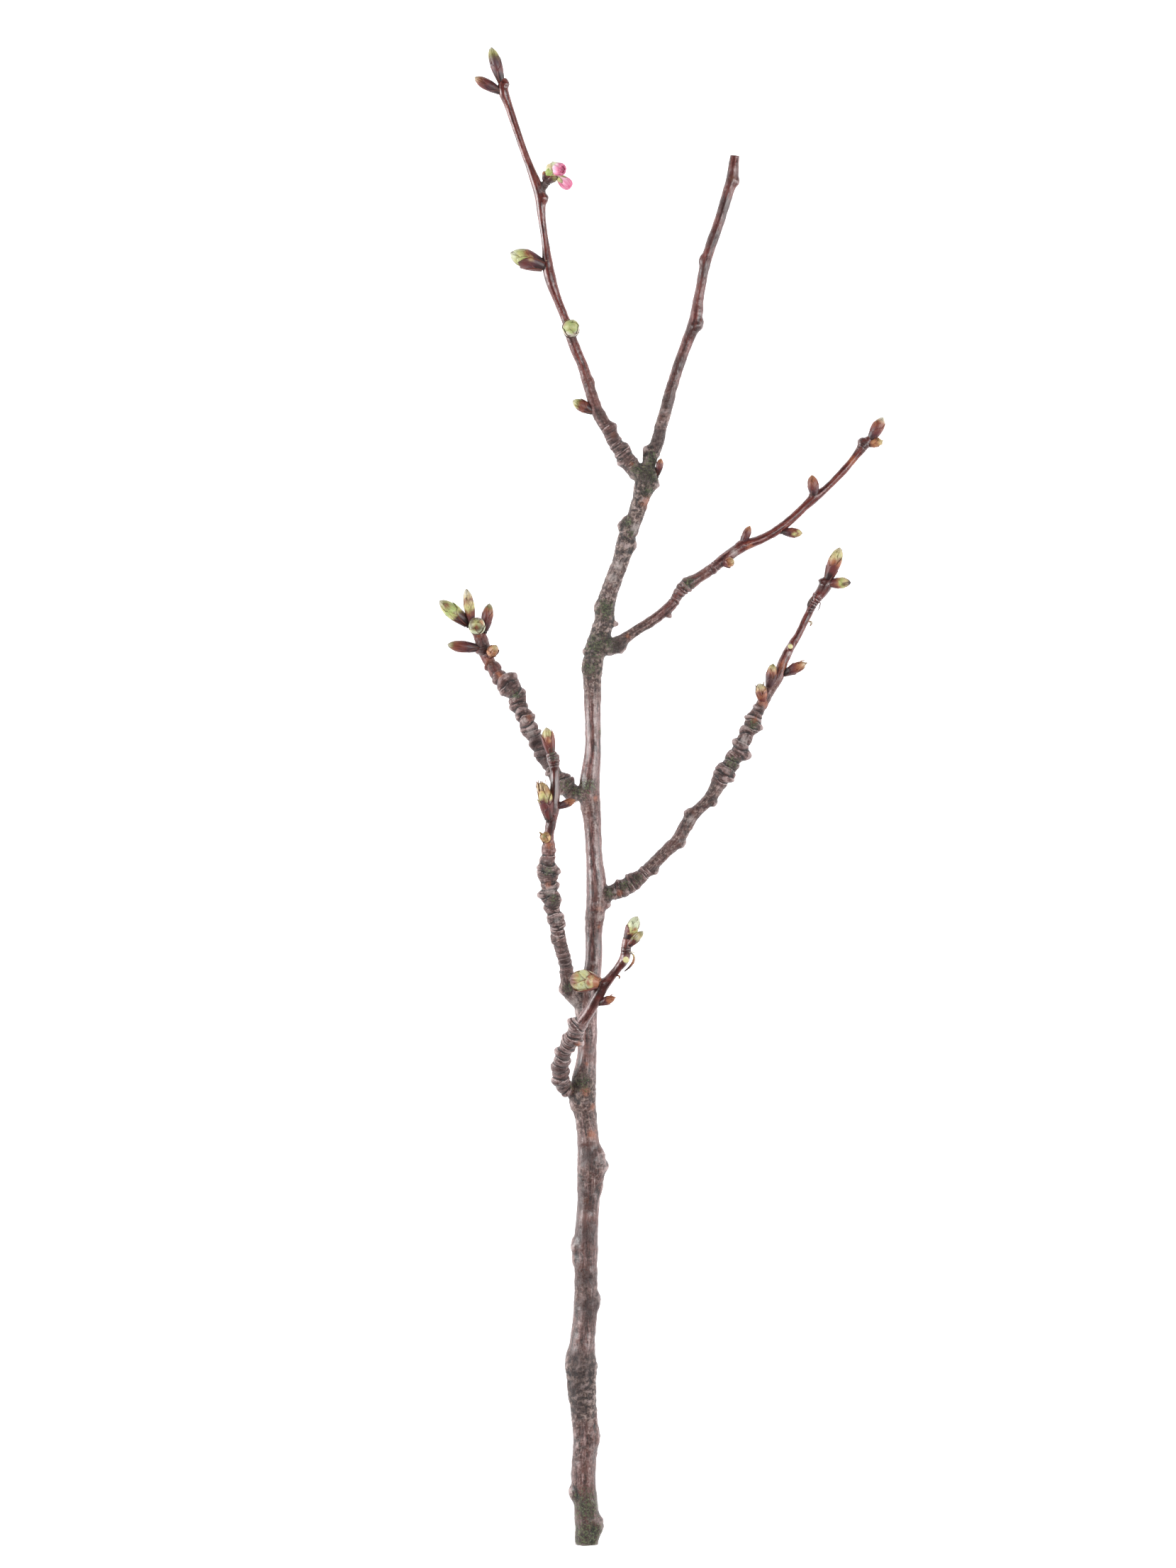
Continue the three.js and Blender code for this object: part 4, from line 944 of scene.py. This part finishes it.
def bud_core(body, radius, shades):
    """The folded leaves in the middle of a bud, from just inside the wood to the tip."""
    base, length, ahead, up, side = body
    along, angle = spread(CORE_GRID, -BUD_ROOT / length, 0, 2 * np.pi)
    wide = radius * (0.97 * plump(along) + 0.04 * np.sin(9 * length * along) * (along < 0.15))
    outward = outwards(angle, up, side)
    spine = base + along[..., None] * length * ahead
    # Its shades are a fifth darker than the scales': painted shade under the scales.
    buds.add(
        spine + wide[..., None] * outward, spine + CORE_WALL * wide[..., None] * outward,
        0.8 * shaded(shades, along), 0 * angle, np.stack([wide * angle, length * along, 0 * angle], axis=-1),
    )


def bud_scale(body, radius, shades, turn, half, top, lift, open_tip=0.0, tone=0.0):
    """One scale, wrapped round its bud from the foot to a blunt tip."""
    base, length, ahead, up, side = body
    v, u = spread(SCALE_GRID)
    reach = half * np.maximum((1 - v**2.4) ** 0.6, 0.05)
    angle = turn + reach * u
    along = -0.02 + (top + 0.02) * v * (1 - 0.05 * u**2)
    wide = radius * plump(along) + lift + open_tip * radius * v**4
    wide = wide + 0.03 * radius * np.cos(3 * angle + 9 * turn)
    outward = outwards(angle, up, side)
    outer = base + along[..., None] * length * ahead + wide[..., None] * outward
    ragged = 0.1 * lumps(outer, RAGGED, 6)
    vein = np.stack([radius * half * u, along * length, 0 * angle + 7 * turn], axis=-1)
    buds.add(
        outer, outer - SCALE_THICKNESS * outward,
        shaded(shades, along + tone + 0.05 * u**2 + ragged), near_edge(v, u), vein,
    )


def strand(body, radius, shades):
    """One of the narrow leaves that come out of the mouth of an opened bud."""
    base, length, ahead, up, side = body
    turn, lean = draw.uniform(*ANY_TURN), draw.uniform(0.1, 1.1)
    out = outwards(turn, up, side)
    root = base + 0.55 * length * ahead + 0.55 * radius * out
    end = base + draw.uniform(0.88, 1.08) * length * ahead + lean * radius * out
    v, u = spread(STRAND_GRID)
    width = draw.uniform(0.35, 0.7) * (1 - 0.8 * v**2)
    middle = root + v[..., None] * (end - root) + (u * width)[..., None] * np.cross(ahead, out)
    middle = middle + (0.25 * np.sin(5 * v + turn) * radius * v)[..., None] * out
    buds.add(
        middle + STRAND_THICKNESS / 2 * out, middle - STRAND_THICKNESS / 2 * out,
        shaded(shades, 0.72 + 0.28 * v + draw.uniform(-0.1, 0.1)), near_edge(v, u),
        np.stack([u * width, 4 * v, 0 * u + turn], axis=-1),
    )


def bud(base, tip, radius, shades, scales=10, open_tip=0.0, tuft=0, outers=(), spots=()):
    """One bud. Outer scales are (turn, top, shades), and spots (along, turn, size, shade), where
    a turn is in degrees from the bud's upper side and a size is in millimetres."""
    body = base, length, ahead, up, side = axes(base, tip)
    start = buds.count
    bud_core(body, radius, shades)
    first = draw.uniform(*ANY_TURN)
    for number in range(scales):
        share = number / (scales - 1)
        bud_scale(
            body, radius, shades, first + number * SPIRAL, half=1.15 - 0.25 * share,
            top=0.34 + 0.67 * share**0.85 + draw.uniform(-0.04, 0.04) * (share < 1),
            lift=0.03 * radius + 0.1 * radius * (1 - share), open_tip=open_tip * draw.uniform(0, 0.35),
            tone=draw.uniform(-0.1, 0.06),
        )
    for turn, top, outer_shades in outers:
        bud_scale(body, radius, outer_shades, np.radians(turn), 1.2, top, 0.14 * radius, 0.06)
    for _ in range(tuft):
        strand(body, radius, shades)
    placed = np.concatenate(buds.points)[start:]
    tints = np.concatenate(buds.values["tint"])
    for along, turn, size, shade in spots:
        wide = radius * (plump(along) + 0.1)
        centre = base + along * length * ahead + wide * outwards(np.radians(turn), up, side)
        away = np.linalg.norm(placed - centre, axis=1) / size + 0.35 * lumps(placed, SPOT_RAGGED)
        share = np.clip(1.5 - away, 0, 1)[:, None]
        tints[start:] = tints[start:] * (1 - share) + share * np.array(SHADES[shade][:3])
    buds.values["tint"] = [tints]


# Left arm of the top fork, from its tip down.
bud(
    [-30.5, 514.5, 22.0], [-34.1, 526.4, 23.0], 2.1,
    "slate slate plum maroon plum plum umber olive lime bone",
)
bud(
    [-31.0, 511.0, 21.8], [-39.9, 515.8, 22.5], 2.0,
    "slate slate plum plum maroon maroon chestnut amber cream",
)
bud(
    [-15.9, 450.4, 17.4], [-27.4, 454.8, 18.5], 3.4,
    "slate slate plum maroon maroon chestnut leaf lime mint bone",
    outers=[(-40, 0.72, "slate plum maroon umber umber"), (-110, 0.6, "slate maroon umber umber")],
    spots=[(0.42, 10, 0.9, "ochre"), (0.6, 40, 0.9, "rust")],
)
bud(
    [-6.0, 426.5, 16.2], [-6.2, 429.8, 23.5], 3.1, "slate slate slate slate bone bone leaf lime leaf",
    spots=[
        (0.8, 255, 0.8, "chestnut"), (0.78, 210, 0.9, "rust"), (0.75, 165, 0.8, "amber"),
        (0.84, 120, 0.7, "olive"),
    ],
)
bud([1.5, 399.5, 14.1], [-5.5, 403.3, 15.0], 2.1, "slate slate plum chestnut maroon chestnut olive lime bone")

# Foot of the right arm.
bud([24.4, 377.4, 13.0], [25.6, 383.0, 14.5], 1.3, "slate slate plum maroon maroon rust amber", scales=7)

# Upper right shoot, from its tip down.
bud(
    [99.8, 390.2, 5.3], [104.1, 398.0, 6.0], 2.2,
    "slate slate plum maroon maroon chestnut chestnut rust cream bone",
)
bud(
    [98.8, 388.4, 5.4], [104.0, 389.5, 5.9], 1.6, "slate rust amber rust ochre straw", scales=8, open_tip=0.8,
    tuft=5,
)
bud([79.8, 370.0, 7.2], [78.8, 377.5, 8.5], 2.0, "slate slate plum maroon chestnut chestnut rust amber")
bud(
    [68.8, 357.4, 7.9], [75.5, 356.8, 8.4], 1.75, "slate plum maroon chestnut chestnut ochre straw", scales=8,
    spots=[(0.6, 20, 0.7, "lime"), (0.8, -30, 0.6, "lime")],
)
bud([54.2, 353.0, 9.0], [57.0, 359.5, 10.0], 1.5, "slate plum plum maroon maroon rust amber", scales=8)
bud(
    [47.6, 346.2, 9.8], [51.2, 346.9, 12.6], 1.9, "slate plum maroon maroon rust amber straw", scales=8,
    open_tip=0.3,
)

# Lower right shoot, from its tip down.
bud(
    [84.8, 341.0, 2.3], [89.0, 352.1, 5.0], 2.4,
    "slate slate maroon maroon chestnut rust straw lime straw bone",
    spots=[(0.55, -20, 0.9, "rust"), (0.68, 40, 0.8, "chestnut")],
)
bud(
    [85.6, 339.4, 2.3], [92.8, 339.8, 3.6], 2.0,
    "slate maroon maroon chestnut amber leaf straw straw umber slate",
    spots=[(0.72, 20, 0.7, "umber")],
)
bud(
    [69.2, 307.4, 4.2], [77.0, 311.3, 6.0], 1.8, "slate slate plum maroon chestnut amber cream", scales=9,
    open_tip=0.6, tuft=4,
)
bud(
    [64.0, 302.5, 4.8], [65.2, 311.0, 7.6], 1.9, "slate plum plum plum maroon rust straw olive",
    spots=[(0.5, 20, 0.9, "umber")],
)
bud(
    [61.8, 297.2, 5.0], [60.5, 304.0, 8.0], 2.0, "slate maroon chestnut rust maroon amber straw bone",
    scales=9, open_tip=0.5, tuft=3,
)

# Crown of the upper left spur.
bud(
    [-42.8, 325.3, 3.9], [-52.5, 333.3, 6.0], 2.6, "slate slate plum umber lime leaf leaf lime olive bone",
    spots=[(0.78, 5, 0.95, "chestnut")],
)
bud(
    [-41.2, 325.5, 4.4], [-43.0, 337.5, 8.0], 1.9,
    "slate plum maroon chestnut lime straw chestnut straw bone bone",
)
bud([-36.6, 323.0, 3.4], [-34.8, 332.3, 4.4], 2.0, "slate plum plum maroon maroon chestnut rust olive bone")
bud(
    [-39.2, 323.0, 4.4], [-39.4, 325.2, 12.5], 3.0,
    "slate slate slate slate slate bone mint mint umber olive lime", scales=8,
    spots=[(0.9, 60, 0.7, "umber"), (0.86, 290, 0.9, "amber"), (0.92, 180, 0.8, "chestnut")],
)
bud(
    [-38.8, 316.5, 2.9], [-49.8, 317.6, 3.8], 2.1,
    "slate slate plum plum maroon maroon chestnut chestnut olive bone",
)
bud(
    [-35.0, 313.8, 3.6], [-32.6, 317.0, 8.4], 2.0, "slate slate maroon amber rust amber straw", scales=8,
    open_tip=0.3,
    spots=[(0.6, 180, 0.5, "olive"), (0.8, 200, 0.5, "olive")],
)

# Middle left spur, from its tip down. One bud has burst into a tuft.
bud(
    [-13.0, 279.0, 27.2], [-14.7, 288.4, 28.6], 2.1,
    "slate umber maroon maroon chestnut rust lime straw bone",
    outers=[(80, 0.9, "plum maroon chestnut amber"), (-95, 0.8, "plum maroon maroon chestnut")],
    spots=[(0.5, 10, 0.6, "amber")],
)
bud(
    [-13.7, 256.5, 27.2], [-16.2, 269.3, 29.0], 2.5,
    "slate maroon maroon plum maroon lime ochre amber straw ochre", scales=8, open_tip=0.6, tuft=20,
    outers=[(-20, 0.5, "slate maroon plum chestnut"), (60, 0.46, "slate maroon maroon chestnut")],
)
bud(
    [-11.4, 260.2, 26.7], [-4.4, 263.0, 28.0], 1.4, "slate plum plum plum rust rust amber", scales=7,
    open_tip=0.6, tuft=5,
)
bud(
    [-14.3, 249.2, 26.2], [-15.5, 250.4, 30.6], 1.9, "slate slate chestnut amber ochre amber olive", scales=8,
    open_tip=0.5, tuft=3,
)

# Shoot of the curled spur, from its tip down. The last is the largest of all.
bud(
    [13.5, 214.6, 34.4], [17.2, 222.6, 35.6], 2.2, "slate slate chestnut lime lime mint mint mint bone",
    outers=[(-60, 0.55, "slate maroon chestnut chestnut")],
    spots=[(0.5, 30, 0.6, "rust")],
)
bud(
    [13.1, 211.8, 34.3], [19.2, 217.3, 36.0], 1.6,
    "slate slate plum chestnut plum olive bone straw olive bone", scales=8,
)
bud(
    [3.6, 192.0, 30.4], [9.3, 194.0, 31.6], 1.55, "slate slate plum maroon rust rust amber", scales=7,
    open_tip=0.6, tuft=4,
)
bud(
    [3.0, 199.4, 31.6], [-6.7, 200.5, 33.4], 3.8,
    "rust rust straw lime mint lime mint lime straw chestnut umber",
    outers=[(-105, 0.86, "umber maroon chestnut umber chestnut rust"), (110, 0.5, "umber maroon rust rust")],
    spots=[
        (0.36, 25, 0.8, "rust"), (0.4, 5, 0.8, "rust"), (0.36, -15, 0.8, "rust"), (0.12, 40, 0.9, "rust"),
        (0.3, 50, 0.8, "rust"), (0.85, -20, 0.9, "chestnut"), (0.8, 40, 0.7, "rust"),
    ],
)


def sheet_skin(name):
    """A new material for thin sheets, with the tint, rim and vein that each point carries."""
    material, wire = new_material(name)
    return material, wire, wire.carried("tint", 0), wire.carried("rim"), wire.carried("vein", 1)


scales, wire, tint, rim, vein = sheet_skin("bud_scales")
threads = vein.stretched((4.0, 0.5, 1.0)).noise(1.0, 3)
speckle = vein.stretched((2.2, 1.5, 1.0)).noise(1.0, 4, 0.65)
colour = tint.mixed(SHADES["umber"], 0.7 * speckle.between(0.53, 0.67))
colour = colour.mixed(SHADES["cream"], 0.12 * threads.between(0.56, 0.7))
colour = colour.mixed(SHADES["chestnut"], 0.85 * (rim * (0.5 + threads)).between(0.35, 0.8))
relief = 0.6 * threads + 0.4 * speckle
coated(wire, {
    "Base Color": colour, "Roughness": 0.3 + 0.3 * speckle, "Specular IOR Level": 0.5,
    "Normal": wire.node("Bump", {}, {"Strength": 0.5, "Distance": 0.12 * MM, "Height": relief}),
})
winter_buds = buds.piece("winter_buds")
winter_buds.data.materials.append(scales)
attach(winter_buds, "root")
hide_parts("branch")


# ---- Bark flakes -----------------------------------------------------------
# Slivers of thin outer bark that have split and curled away from the young shoots,
# most of them beside the cut stub. Each is a dry ribbon that still holds at one end.

FLAKE_STEP = 0.12
FLAKE_COLUMNS = 5
FLAKE_THICKNESS = 0.1

flakes = Sheets()


def ribbon(route, width, shades):
    """A thin strip that tapers to both ends of a route, with its edges curled up."""
    along, line = follow([[*stop, 0] for stop in route], FLAKE_STEP)
    ups, rights = square_to(line[:, :3])
    v, u = spread((len(along), FLAKE_COLUMNS))
    reach = 0.5 * width * (0.2 + 0.8 * np.sin(np.pi * v) ** 0.7) * u
    middle = line[:, None, :3] + reach[..., None] * rights[:, None]
    middle = middle + (0.3 * width * u**2)[..., None] * ups[:, None]
    thick = FLAKE_THICKNESS / 2 * ups[:, None]
    vein = np.stack([reach, v * along[-1], 0 * u + width], axis=-1)
    flakes.add(middle + thick, middle - thick, shaded(shades, v), near_edge(v, u), vein)


for route, width, shades in (
    (
        [[14.6, 209.9, 34.2], [15.8, 208.8, 34.8], [15.8, 207.0, 34.8], [14.7, 205.2, 34.2],
         [12.5, 203.2, 33.2]], 0.9, "umber straw amber rust umber slate slate",
    ),
    ([[14.2, 209.8, 35.2], [15.4, 210.1, 35.6], [16.4, 209.8, 35.4]], 0.35, "cream bone cream"),
    ([[9.5, 201.9, 32.8], [10.9, 201.5, 33.4], [10.7, 200.6, 33.0]], 0.6, "umber rust umber"),
    (
        [[80.1, 335.4, 2.5], [78.5, 333.6, 2.9], [77.7, 331.7, 2.8], [78.1, 330.2, 2.4]], 0.8,
        "rust umber slate umber",
    ),
    (
        [[80.8, 332.4, 2.6], [82.0, 332.6, 3.0], [81.8, 331.2, 2.8], [81.0, 329.4, 2.5]], 0.35,
        "umber plum umber",
    ),
    ([[77.6, 326.2, 2.8], [78.9, 325.5, 3.1], [78.4, 324.3, 2.8]], 0.8, "amber bone rust"),
    ([[76.1, 326.0, 2.8], [75.1, 325.4, 3.0], [75.5, 324.4, 2.8]], 0.6, "umber rust umber"),
):
    ribbon(route, width, shades)

bark_flakes = flakes.piece("bark_flakes")
bark_flakes.data.materials.append(scales)
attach(bark_flakes, "root")
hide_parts("branch")


# ---- Cup scales and bracts -------------------------------------------------
# One bud has opened. Four brown scales still stand round its foot as a cup, and out
# of it come pale green bracts, soft and thin, that fold round the flower buds. A
# short green stalk leads to the lower flower bud, whose green calyx holds its petals.

BRACT_GRID = (15, 11)
BRACT_THICKNESS = 0.22
STALK_SIDES = 12
STALK_STEP = 0.2
STALK_CORE = 0.2
SEPAL_TURNS = np.radians([20, 92, 164, 236, 308])
SEPAL_GRID = (9, 7)


def blade(sheets, root, tip, outward, width, bow, fold, shades, wave=0.1, grid=BRACT_GRID):
    """A bract or scale: bellied out by its bow from root to tip, and folded along its middle."""
    root, along = np.array(root, float), np.array(tip, float) - root
    out = np.array(outward, float)
    out -= out.dot(along) / along.dot(along) * along
    out /= np.linalg.norm(out)
    side = np.cross(along, out)
    side /= np.linalg.norm(side)
    length = np.linalg.norm(along)
    v, u = spread(grid)
    reach = 0.5 * width * (0.42 + 1.62 * v * (1.36 - v)) * np.sqrt(np.maximum(1 - v**5, 0.01))
    height = bow * np.sin(np.pi * v**0.9) - fold * u**2 + wave * np.sin(7 * v + 4 * u) * np.abs(u)
    middle = root + v[..., None] * along + (reach * u)[..., None] * side
    sheets.add(
        middle + (height + BRACT_THICKNESS / 2)[..., None] * out,
        middle + (height - BRACT_THICKNESS / 2)[..., None] * out,
        shaded(shades, v), near_edge(v, u), np.stack([reach * u, length * v, 0 * u + length], axis=-1),
    )


def stalk(sheets, route, shades):
    """A thin round stalk along a route of [x, y, z, radius]."""
    along, line = follow(route, STALK_STEP)
    ups, rights = square_to(line[:, :3])
    v, angle = spread((len(along), STALK_SIDES + 1), 0, 0, 2 * np.pi)
    outward = outwards(angle, ups[:, None], rights[:, None])
    middle, radius = line[:, None, :3], line[:, 3][:, None, None]
    sheets.add(
        middle + radius * outward, middle + STALK_CORE * radius * outward,
        shaded(shades, v), 0 * v, np.stack([radius[..., 0] * angle, v * along[-1], 0 * v], axis=-1),
    )


cup = Sheets()
for root, tip, outward, width, bow, fold, shades in (
    ([-15.6, 480.1, 20.5], [-15.6, 483.1, 22.0], [-1, 0, 0.5], 2.3, 0.3, 0.4, "plum umber chestnut amber"),
    (
        [-15.6, 479.6, 21.0], [-13.6, 482.0, 22.6], [0.1, -0.4, 1], 3.2, 0.4, 0.5,
        "slate plum slate maroon umber",
    ),
    (
        [-14.6, 479.5, 21.2], [-10.7, 480.8, 22.0], [0.3, -0.8, 0.7], 2.8, 0.45, 0.5,
        "slate plum umber olive umber",
    ),
    ([-14.2, 480.2, 19.0], [-12.0, 482.8, 19.5], [0.1, 0.3, -1], 3.4, 0.4, 0.5, "plum umber chestnut amber"),
):
    blade(cup, root, tip, outward, width, bow, fold, shades)
cup_scales = cup.piece("cup_scales")
cup_scales.data.materials.append(scales)
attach(cup_scales, "root")
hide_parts("branch")

greens = Sheets()
for root, tip, outward, width, bow, fold, shades in (
    ([-14.4, 481.8, 20.6], [-12.4, 486.6, 21.4], [-1, 0.2, 0.2], 3.7, 1.0, 0.5, "lime mint cream bone cream"),
    (
        [-13.6, 482.2, 20.2], [-10.4, 486.4, 20.9], [-0.5, 0.7, -0.7], 3.8, 0.6, 0.5,
        "lime mint straw mint cream",
    ),
    (
        [-14.6, 482.0, 21.6], [-13.0, 485.7, 23.2], [-1, 0.1, 0.9], 2.6, 0.7, 0.5,
        "leaf mint cream straw cream",
    ),
    ([-13.8, 482.4, 21.8], [-11.0, 485.9, 23.9], [-0.4, 0.3, 1], 2.8, 0.7, 0.4, "leaf lime straw mint cream"),
    ([-14.9, 481.6, 22.4], [-12.6, 483.6, 23.6], [-0.2, -0.2, 1], 2.3, 0.4, 0.4, "sap sap sap lime"),
    ([-15.0, 482.9, 22.3], [-10.9, 481.6, 22.9], [0, -0.5, 1], 1.2, 0.25, 0.2, "straw sap lime straw"),
    (
        [-13.4, 481.4, 20.8], [-10.2, 481.9, 21.0], [0.1, -0.6, -0.6], 2.6, 0.35, 0.35,
        "straw lime straw cream",
    ),
):
    blade(greens, root, tip, outward, width, bow, fold, shades)
stalk(greens, [[-14.2, 480.8, 20.4, 1.2], [-13.4, 482.0, 21.0, 1.6], [-12.4, 483.0, 21.3, 1.2]], "lime lime")
stalk(
    greens,
    [
        [-12.9, 481.9, 20.9, 0.62], [-11.8, 481.8, 21.2, 0.5], [-10.9, 481.3, 21.2, 0.55],
        [-10.2, 480.8, 21.0, 0.8],
    ],
    "lime straw lime leaf",
)

# The two flower buds, each in a calyx of five short sepals, from the foot to the tip.
LOWER_BUD = [-10.6, 481.1, 21.0], [-6.1, 477.5, 21.6]
UPPER_BUD = [-11.9, 484.0, 21.3], [-8.8, 483.4, 24.3]
for (base, tip), radius, reach in ((UPPER_BUD, 2.4, 0.35), (LOWER_BUD, 2.0, 0.5)):
    base, length, ahead, up, side = axes(base, tip)
    for turn in SEPAL_TURNS:
        out = outwards(turn, up, side)
        end = base + reach * length * ahead + 1.03 * radius * out
        foot = base + 0.3 * radius * out
        blade(greens, foot, end, out, 1.3, 0.28, 0.05, "leaf lime olive chestnut", 0, SEPAL_GRID)

bract, wire, tint, rim, vein = sheet_skin("bract")
threads = vein.stretched((3.0, 0.35, 1.0)).noise(1.0, 3)
patches = vein.stretched((0.9, 0.7, 1.0)).noise(1.0, 3)
colour = tint.mixed(SHADES["cream"], 0.5 * threads.between(0.52, 0.68))
colour = colour.mixed(SHADES["leaf"], 0.35 * patches.between(0.52, 0.62))
colour = colour.mixed(SHADES["bone"], 0.6 * (rim * (0.4 + threads)).between(0.4, 0.9))
coated(wire, {
    "Base Color": colour, "Roughness": 0.45 + 0.2 * threads, "Specular IOR Level": 0.4,
    "Normal": wire.node("Bump", {}, {"Strength": 0.5, "Distance": 0.1 * MM, "Height": threads}),
})
bracts = greens.piece("bracts")
bracts.data.materials.append(bract)
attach(bracts, "root")
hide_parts("blossom_bracts")


# ---- Flower buds -----------------------------------------------------------
# Two flower buds are about to open. Each has five thin pink petals, rolled one over
# the next and folded in at the end, pale outside and deep pink in the hollow.

SHADES |= {
    "shell": paint("e8c8d1"), "blush": paint("dd9fb8"), "rose": paint("c9708f"), "pink": paint("bd4f78"),
    "deep": paint("a63d64"), "wine": paint("702540"),
}
PETAL_HALF = np.radians(60)
PETAL_GRID = (22, 17)
PETAL_RIM = 0.1
PETAL_THICKNESS = 0.12
OUTLINE_STEP = 0.05
# The outline of a bud, as [part of its length, part of its radius] from the foot up.
UPPER_OUTLINE = [
    [0, 0.35], [0.12, 0.68], [0.28, 0.93], [0.48, 1.0], [0.68, 0.98], [0.84, 0.9], [0.93, 0.78], [0.92, 0.68],
    [0.78, 0.58], [0.5, 0.45],
]
LOWER_OUTLINE = [
    [0, 0.3], [0.1, 0.52], [0.3, 0.84], [0.5, 0.98], [0.7, 1.0], [0.85, 0.87], [0.96, 0.62], [1.0, 0.36],
    [0.97, 0.15], [0.88, 0.08],
]


def roll(sheets, ends, radius, outline, petals, first, edge=1.0):
    """Petals wrapped one over the next round an outline."""
    base, length, ahead, up, side = axes(*ends)
    along, line = follow([[part * length, wide * radius, 0, 0] for part, wide in outline], OUTLINE_STEP)
    for number, shades in enumerate(petals):
        top = draw.uniform(0.9, 1.0)
        v, u = spread(PETAL_GRID)
        on = top * v * along[-1] * (1 - 0.03 * u**2)
        angle = first + 2 * np.pi * number / len(petals)
        angle = angle + PETAL_HALF * u * np.minimum(1, 0.6 + 1.2 * v) + 0.5 * v
        wide = np.interp(on, along, line[:, 1]) * (1.0 - 0.09 * u + 0.05 * np.cos(0.5 * np.pi * u))
        wide += 0.03 * radius * np.sin(6 * angle + 4 * v + number) * v * (1 - 0.5 * v)
        spine = base + np.interp(on, along, line[:, 0])[..., None] * ahead
        outward = outwards(angle, up, side)
        sheets.add(
            spine + wide[..., None] * outward, spine + (wide - PETAL_THICKNESS)[..., None] * outward,
            shaded(shades, v + 0.06 * np.sin(9 * u + number)), edge * near_edge(v, u, PETAL_RIM),
            np.stack([radius * PETAL_HALF * u, on, 0 * on + 3 * number], axis=-1),
        )


petal, wire, tint, rim, vein = sheet_skin("petal")
threads = vein.stretched((2.2, 0.16, 1.0)).noise(1.0, 3, 0.6)
wash = vein.stretched((0.8, 0.5, 1.0)).noise(1.0, 2)
colour = tint.mixed(SHADES["deep"], 0.35 * threads.between(0.52, 0.66))
colour = colour.mixed(SHADES["shell"], 0.3 * (1 - threads.between(0.34, 0.48)))
colour = colour.mixed(SHADES["blush"], 0.25 * wash.between(0.5, 0.65))
colour = colour.mixed(SHADES["shell"], 0.6 * (rim * (0.4 + threads)).between(0.35, 0.8))
coated(wire, {
    "Base Color": colour, "Roughness": 0.5 + 0.15 * wash, "Specular IOR Level": 0.35, "Sheen Weight": 0.15,
    "Normal": wire.node("Bump", {}, {"Strength": 0.6, "Distance": 0.12 * MM, "Height": threads}),
})

upper_petals = Sheets()
roll(upper_petals, UPPER_BUD, 2.25, UPPER_OUTLINE, first=0.4, petals=[
    "blush shell shell blush rose deep deep", "blush rose rose pink deep deep deep",
    "rose rose pink pink deep deep deep", "blush blush rose pink pink deep deep",
    "shell shell blush shell rose deep deep",
])
# Inside it the last petals are still rolled tight, deep pink and dark in the middle.
HOLLOW = [-10.9, 483.75, 21.8], [-9.2, 483.4, 23.3]
roll(upper_petals, HOLLOW, 1.6, LOWER_OUTLINE, first=1.5, edge=0, petals=[
    "wine deep deep pink deep deep deep", "wine deep pink deep deep deep wine",
    "wine deep deep pink pink deep wine",
])
lower_petals = Sheets()
roll(lower_petals, LOWER_BUD, 2.0, LOWER_OUTLINE, first=1.3, petals=[
    "blush rose deep rose pink deep", "shell blush rose blush pink pink", "blush pink deep pink pink deep",
    "rose pink deep rose pink pink", "shell shell blush rose pink pink",
])
for petals, name, node in (
    (upper_petals, "upper_flower_bud", "flower_bud_upper"),
    (lower_petals, "lower_flower_bud", "flower_bud_lower"),
):
    flower = petals.piece(name)
    flower.data.materials.append(petal)
    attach(flower, "root")
    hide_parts(node)


# ---- Floor, light and camera -----------------------------------------------
# The sprig lies on a wide white sheet, softly lit from below as on a light table, so
# the edges of the wood are brighter than its middle. Long soft lights stand on either
# side, and the highest draws the gloss along the shoots. The camera looks straight down.

PAPER = paint("f4f4f5")
PAPER_HALF = 20
PAPER_GLOW = 0.8
PAPER_BELOW = 0.05 * MM
# Each light: where it stands, its length, its width and its power in watts.
LIGHTS = {
    "left_edge": ((-1.1, 0.05, 0.12), 1.4, 0.4, 34.0),
    "right_edge": ((1.1, 0.0, 0.3), 1.4, 0.4, 16.0),
    "gloss": ((0.75, 0.1, 1.35), 1.0, 0.2, 15.0),
}
SKY = 0.14
CAMERA_AT = (-0.026, 0.0054, 2.0)
LENS = 129.7

corners = np.array([[-1, -1, 0], [1, -1, 0], [1, 1, 0], [-1, 1, 0]]) * PAPER_HALF
floor = new_piece("paper", corners + [0, 0, low.z - PAPER_BELOW], [(0, 1, 2, 3)])
paper, wire = new_material("paper")
tooth = wire.node("TexCoord", output=3).noise(900.0, 2)
coated(wire, {
    "Base Color": PAPER, "Roughness": 0.9, "Emission Color": PAPER, "Emission Strength": PAPER_GLOW,
    "Normal": wire.node("Bump", {}, {"Strength": 0.1, "Distance": 0.1 * MM, "Height": tooth}),
})
floor.data.materials.append(paper)

for name, (at, length, width, watts) in LIGHTS.items():
    lamp = bpy.data.lights.new(name, "AREA")
    lamp.shape, lamp.size, lamp.size_y, lamp.energy = "RECTANGLE", width, length, watts
    light = bpy.data.objects.new(name, lamp)
    light.location = at
    light.rotation_euler = (-Vector(at)).to_track_quat("-Z", "Y").to_euler()
    bpy.context.collection.objects.link(light)

world = bpy.data.worlds.new("studio")
world.use_nodes = True
sky = world.node_tree.nodes["Background"].inputs
sky["Color"].default_value, sky["Strength"].default_value = (1, 1, 1, 1), SKY
bpy.context.scene.world = world
bpy.context.scene.view_settings.view_transform = "Standard"

camera = bpy.data.objects.new("camera", bpy.data.cameras.new("camera"))
camera.data.lens = LENS
camera.data.clip_start = 0.01
camera.location = CAMERA_AT
bpy.context.collection.objects.link(camera)
bpy.context.scene.camera = camera
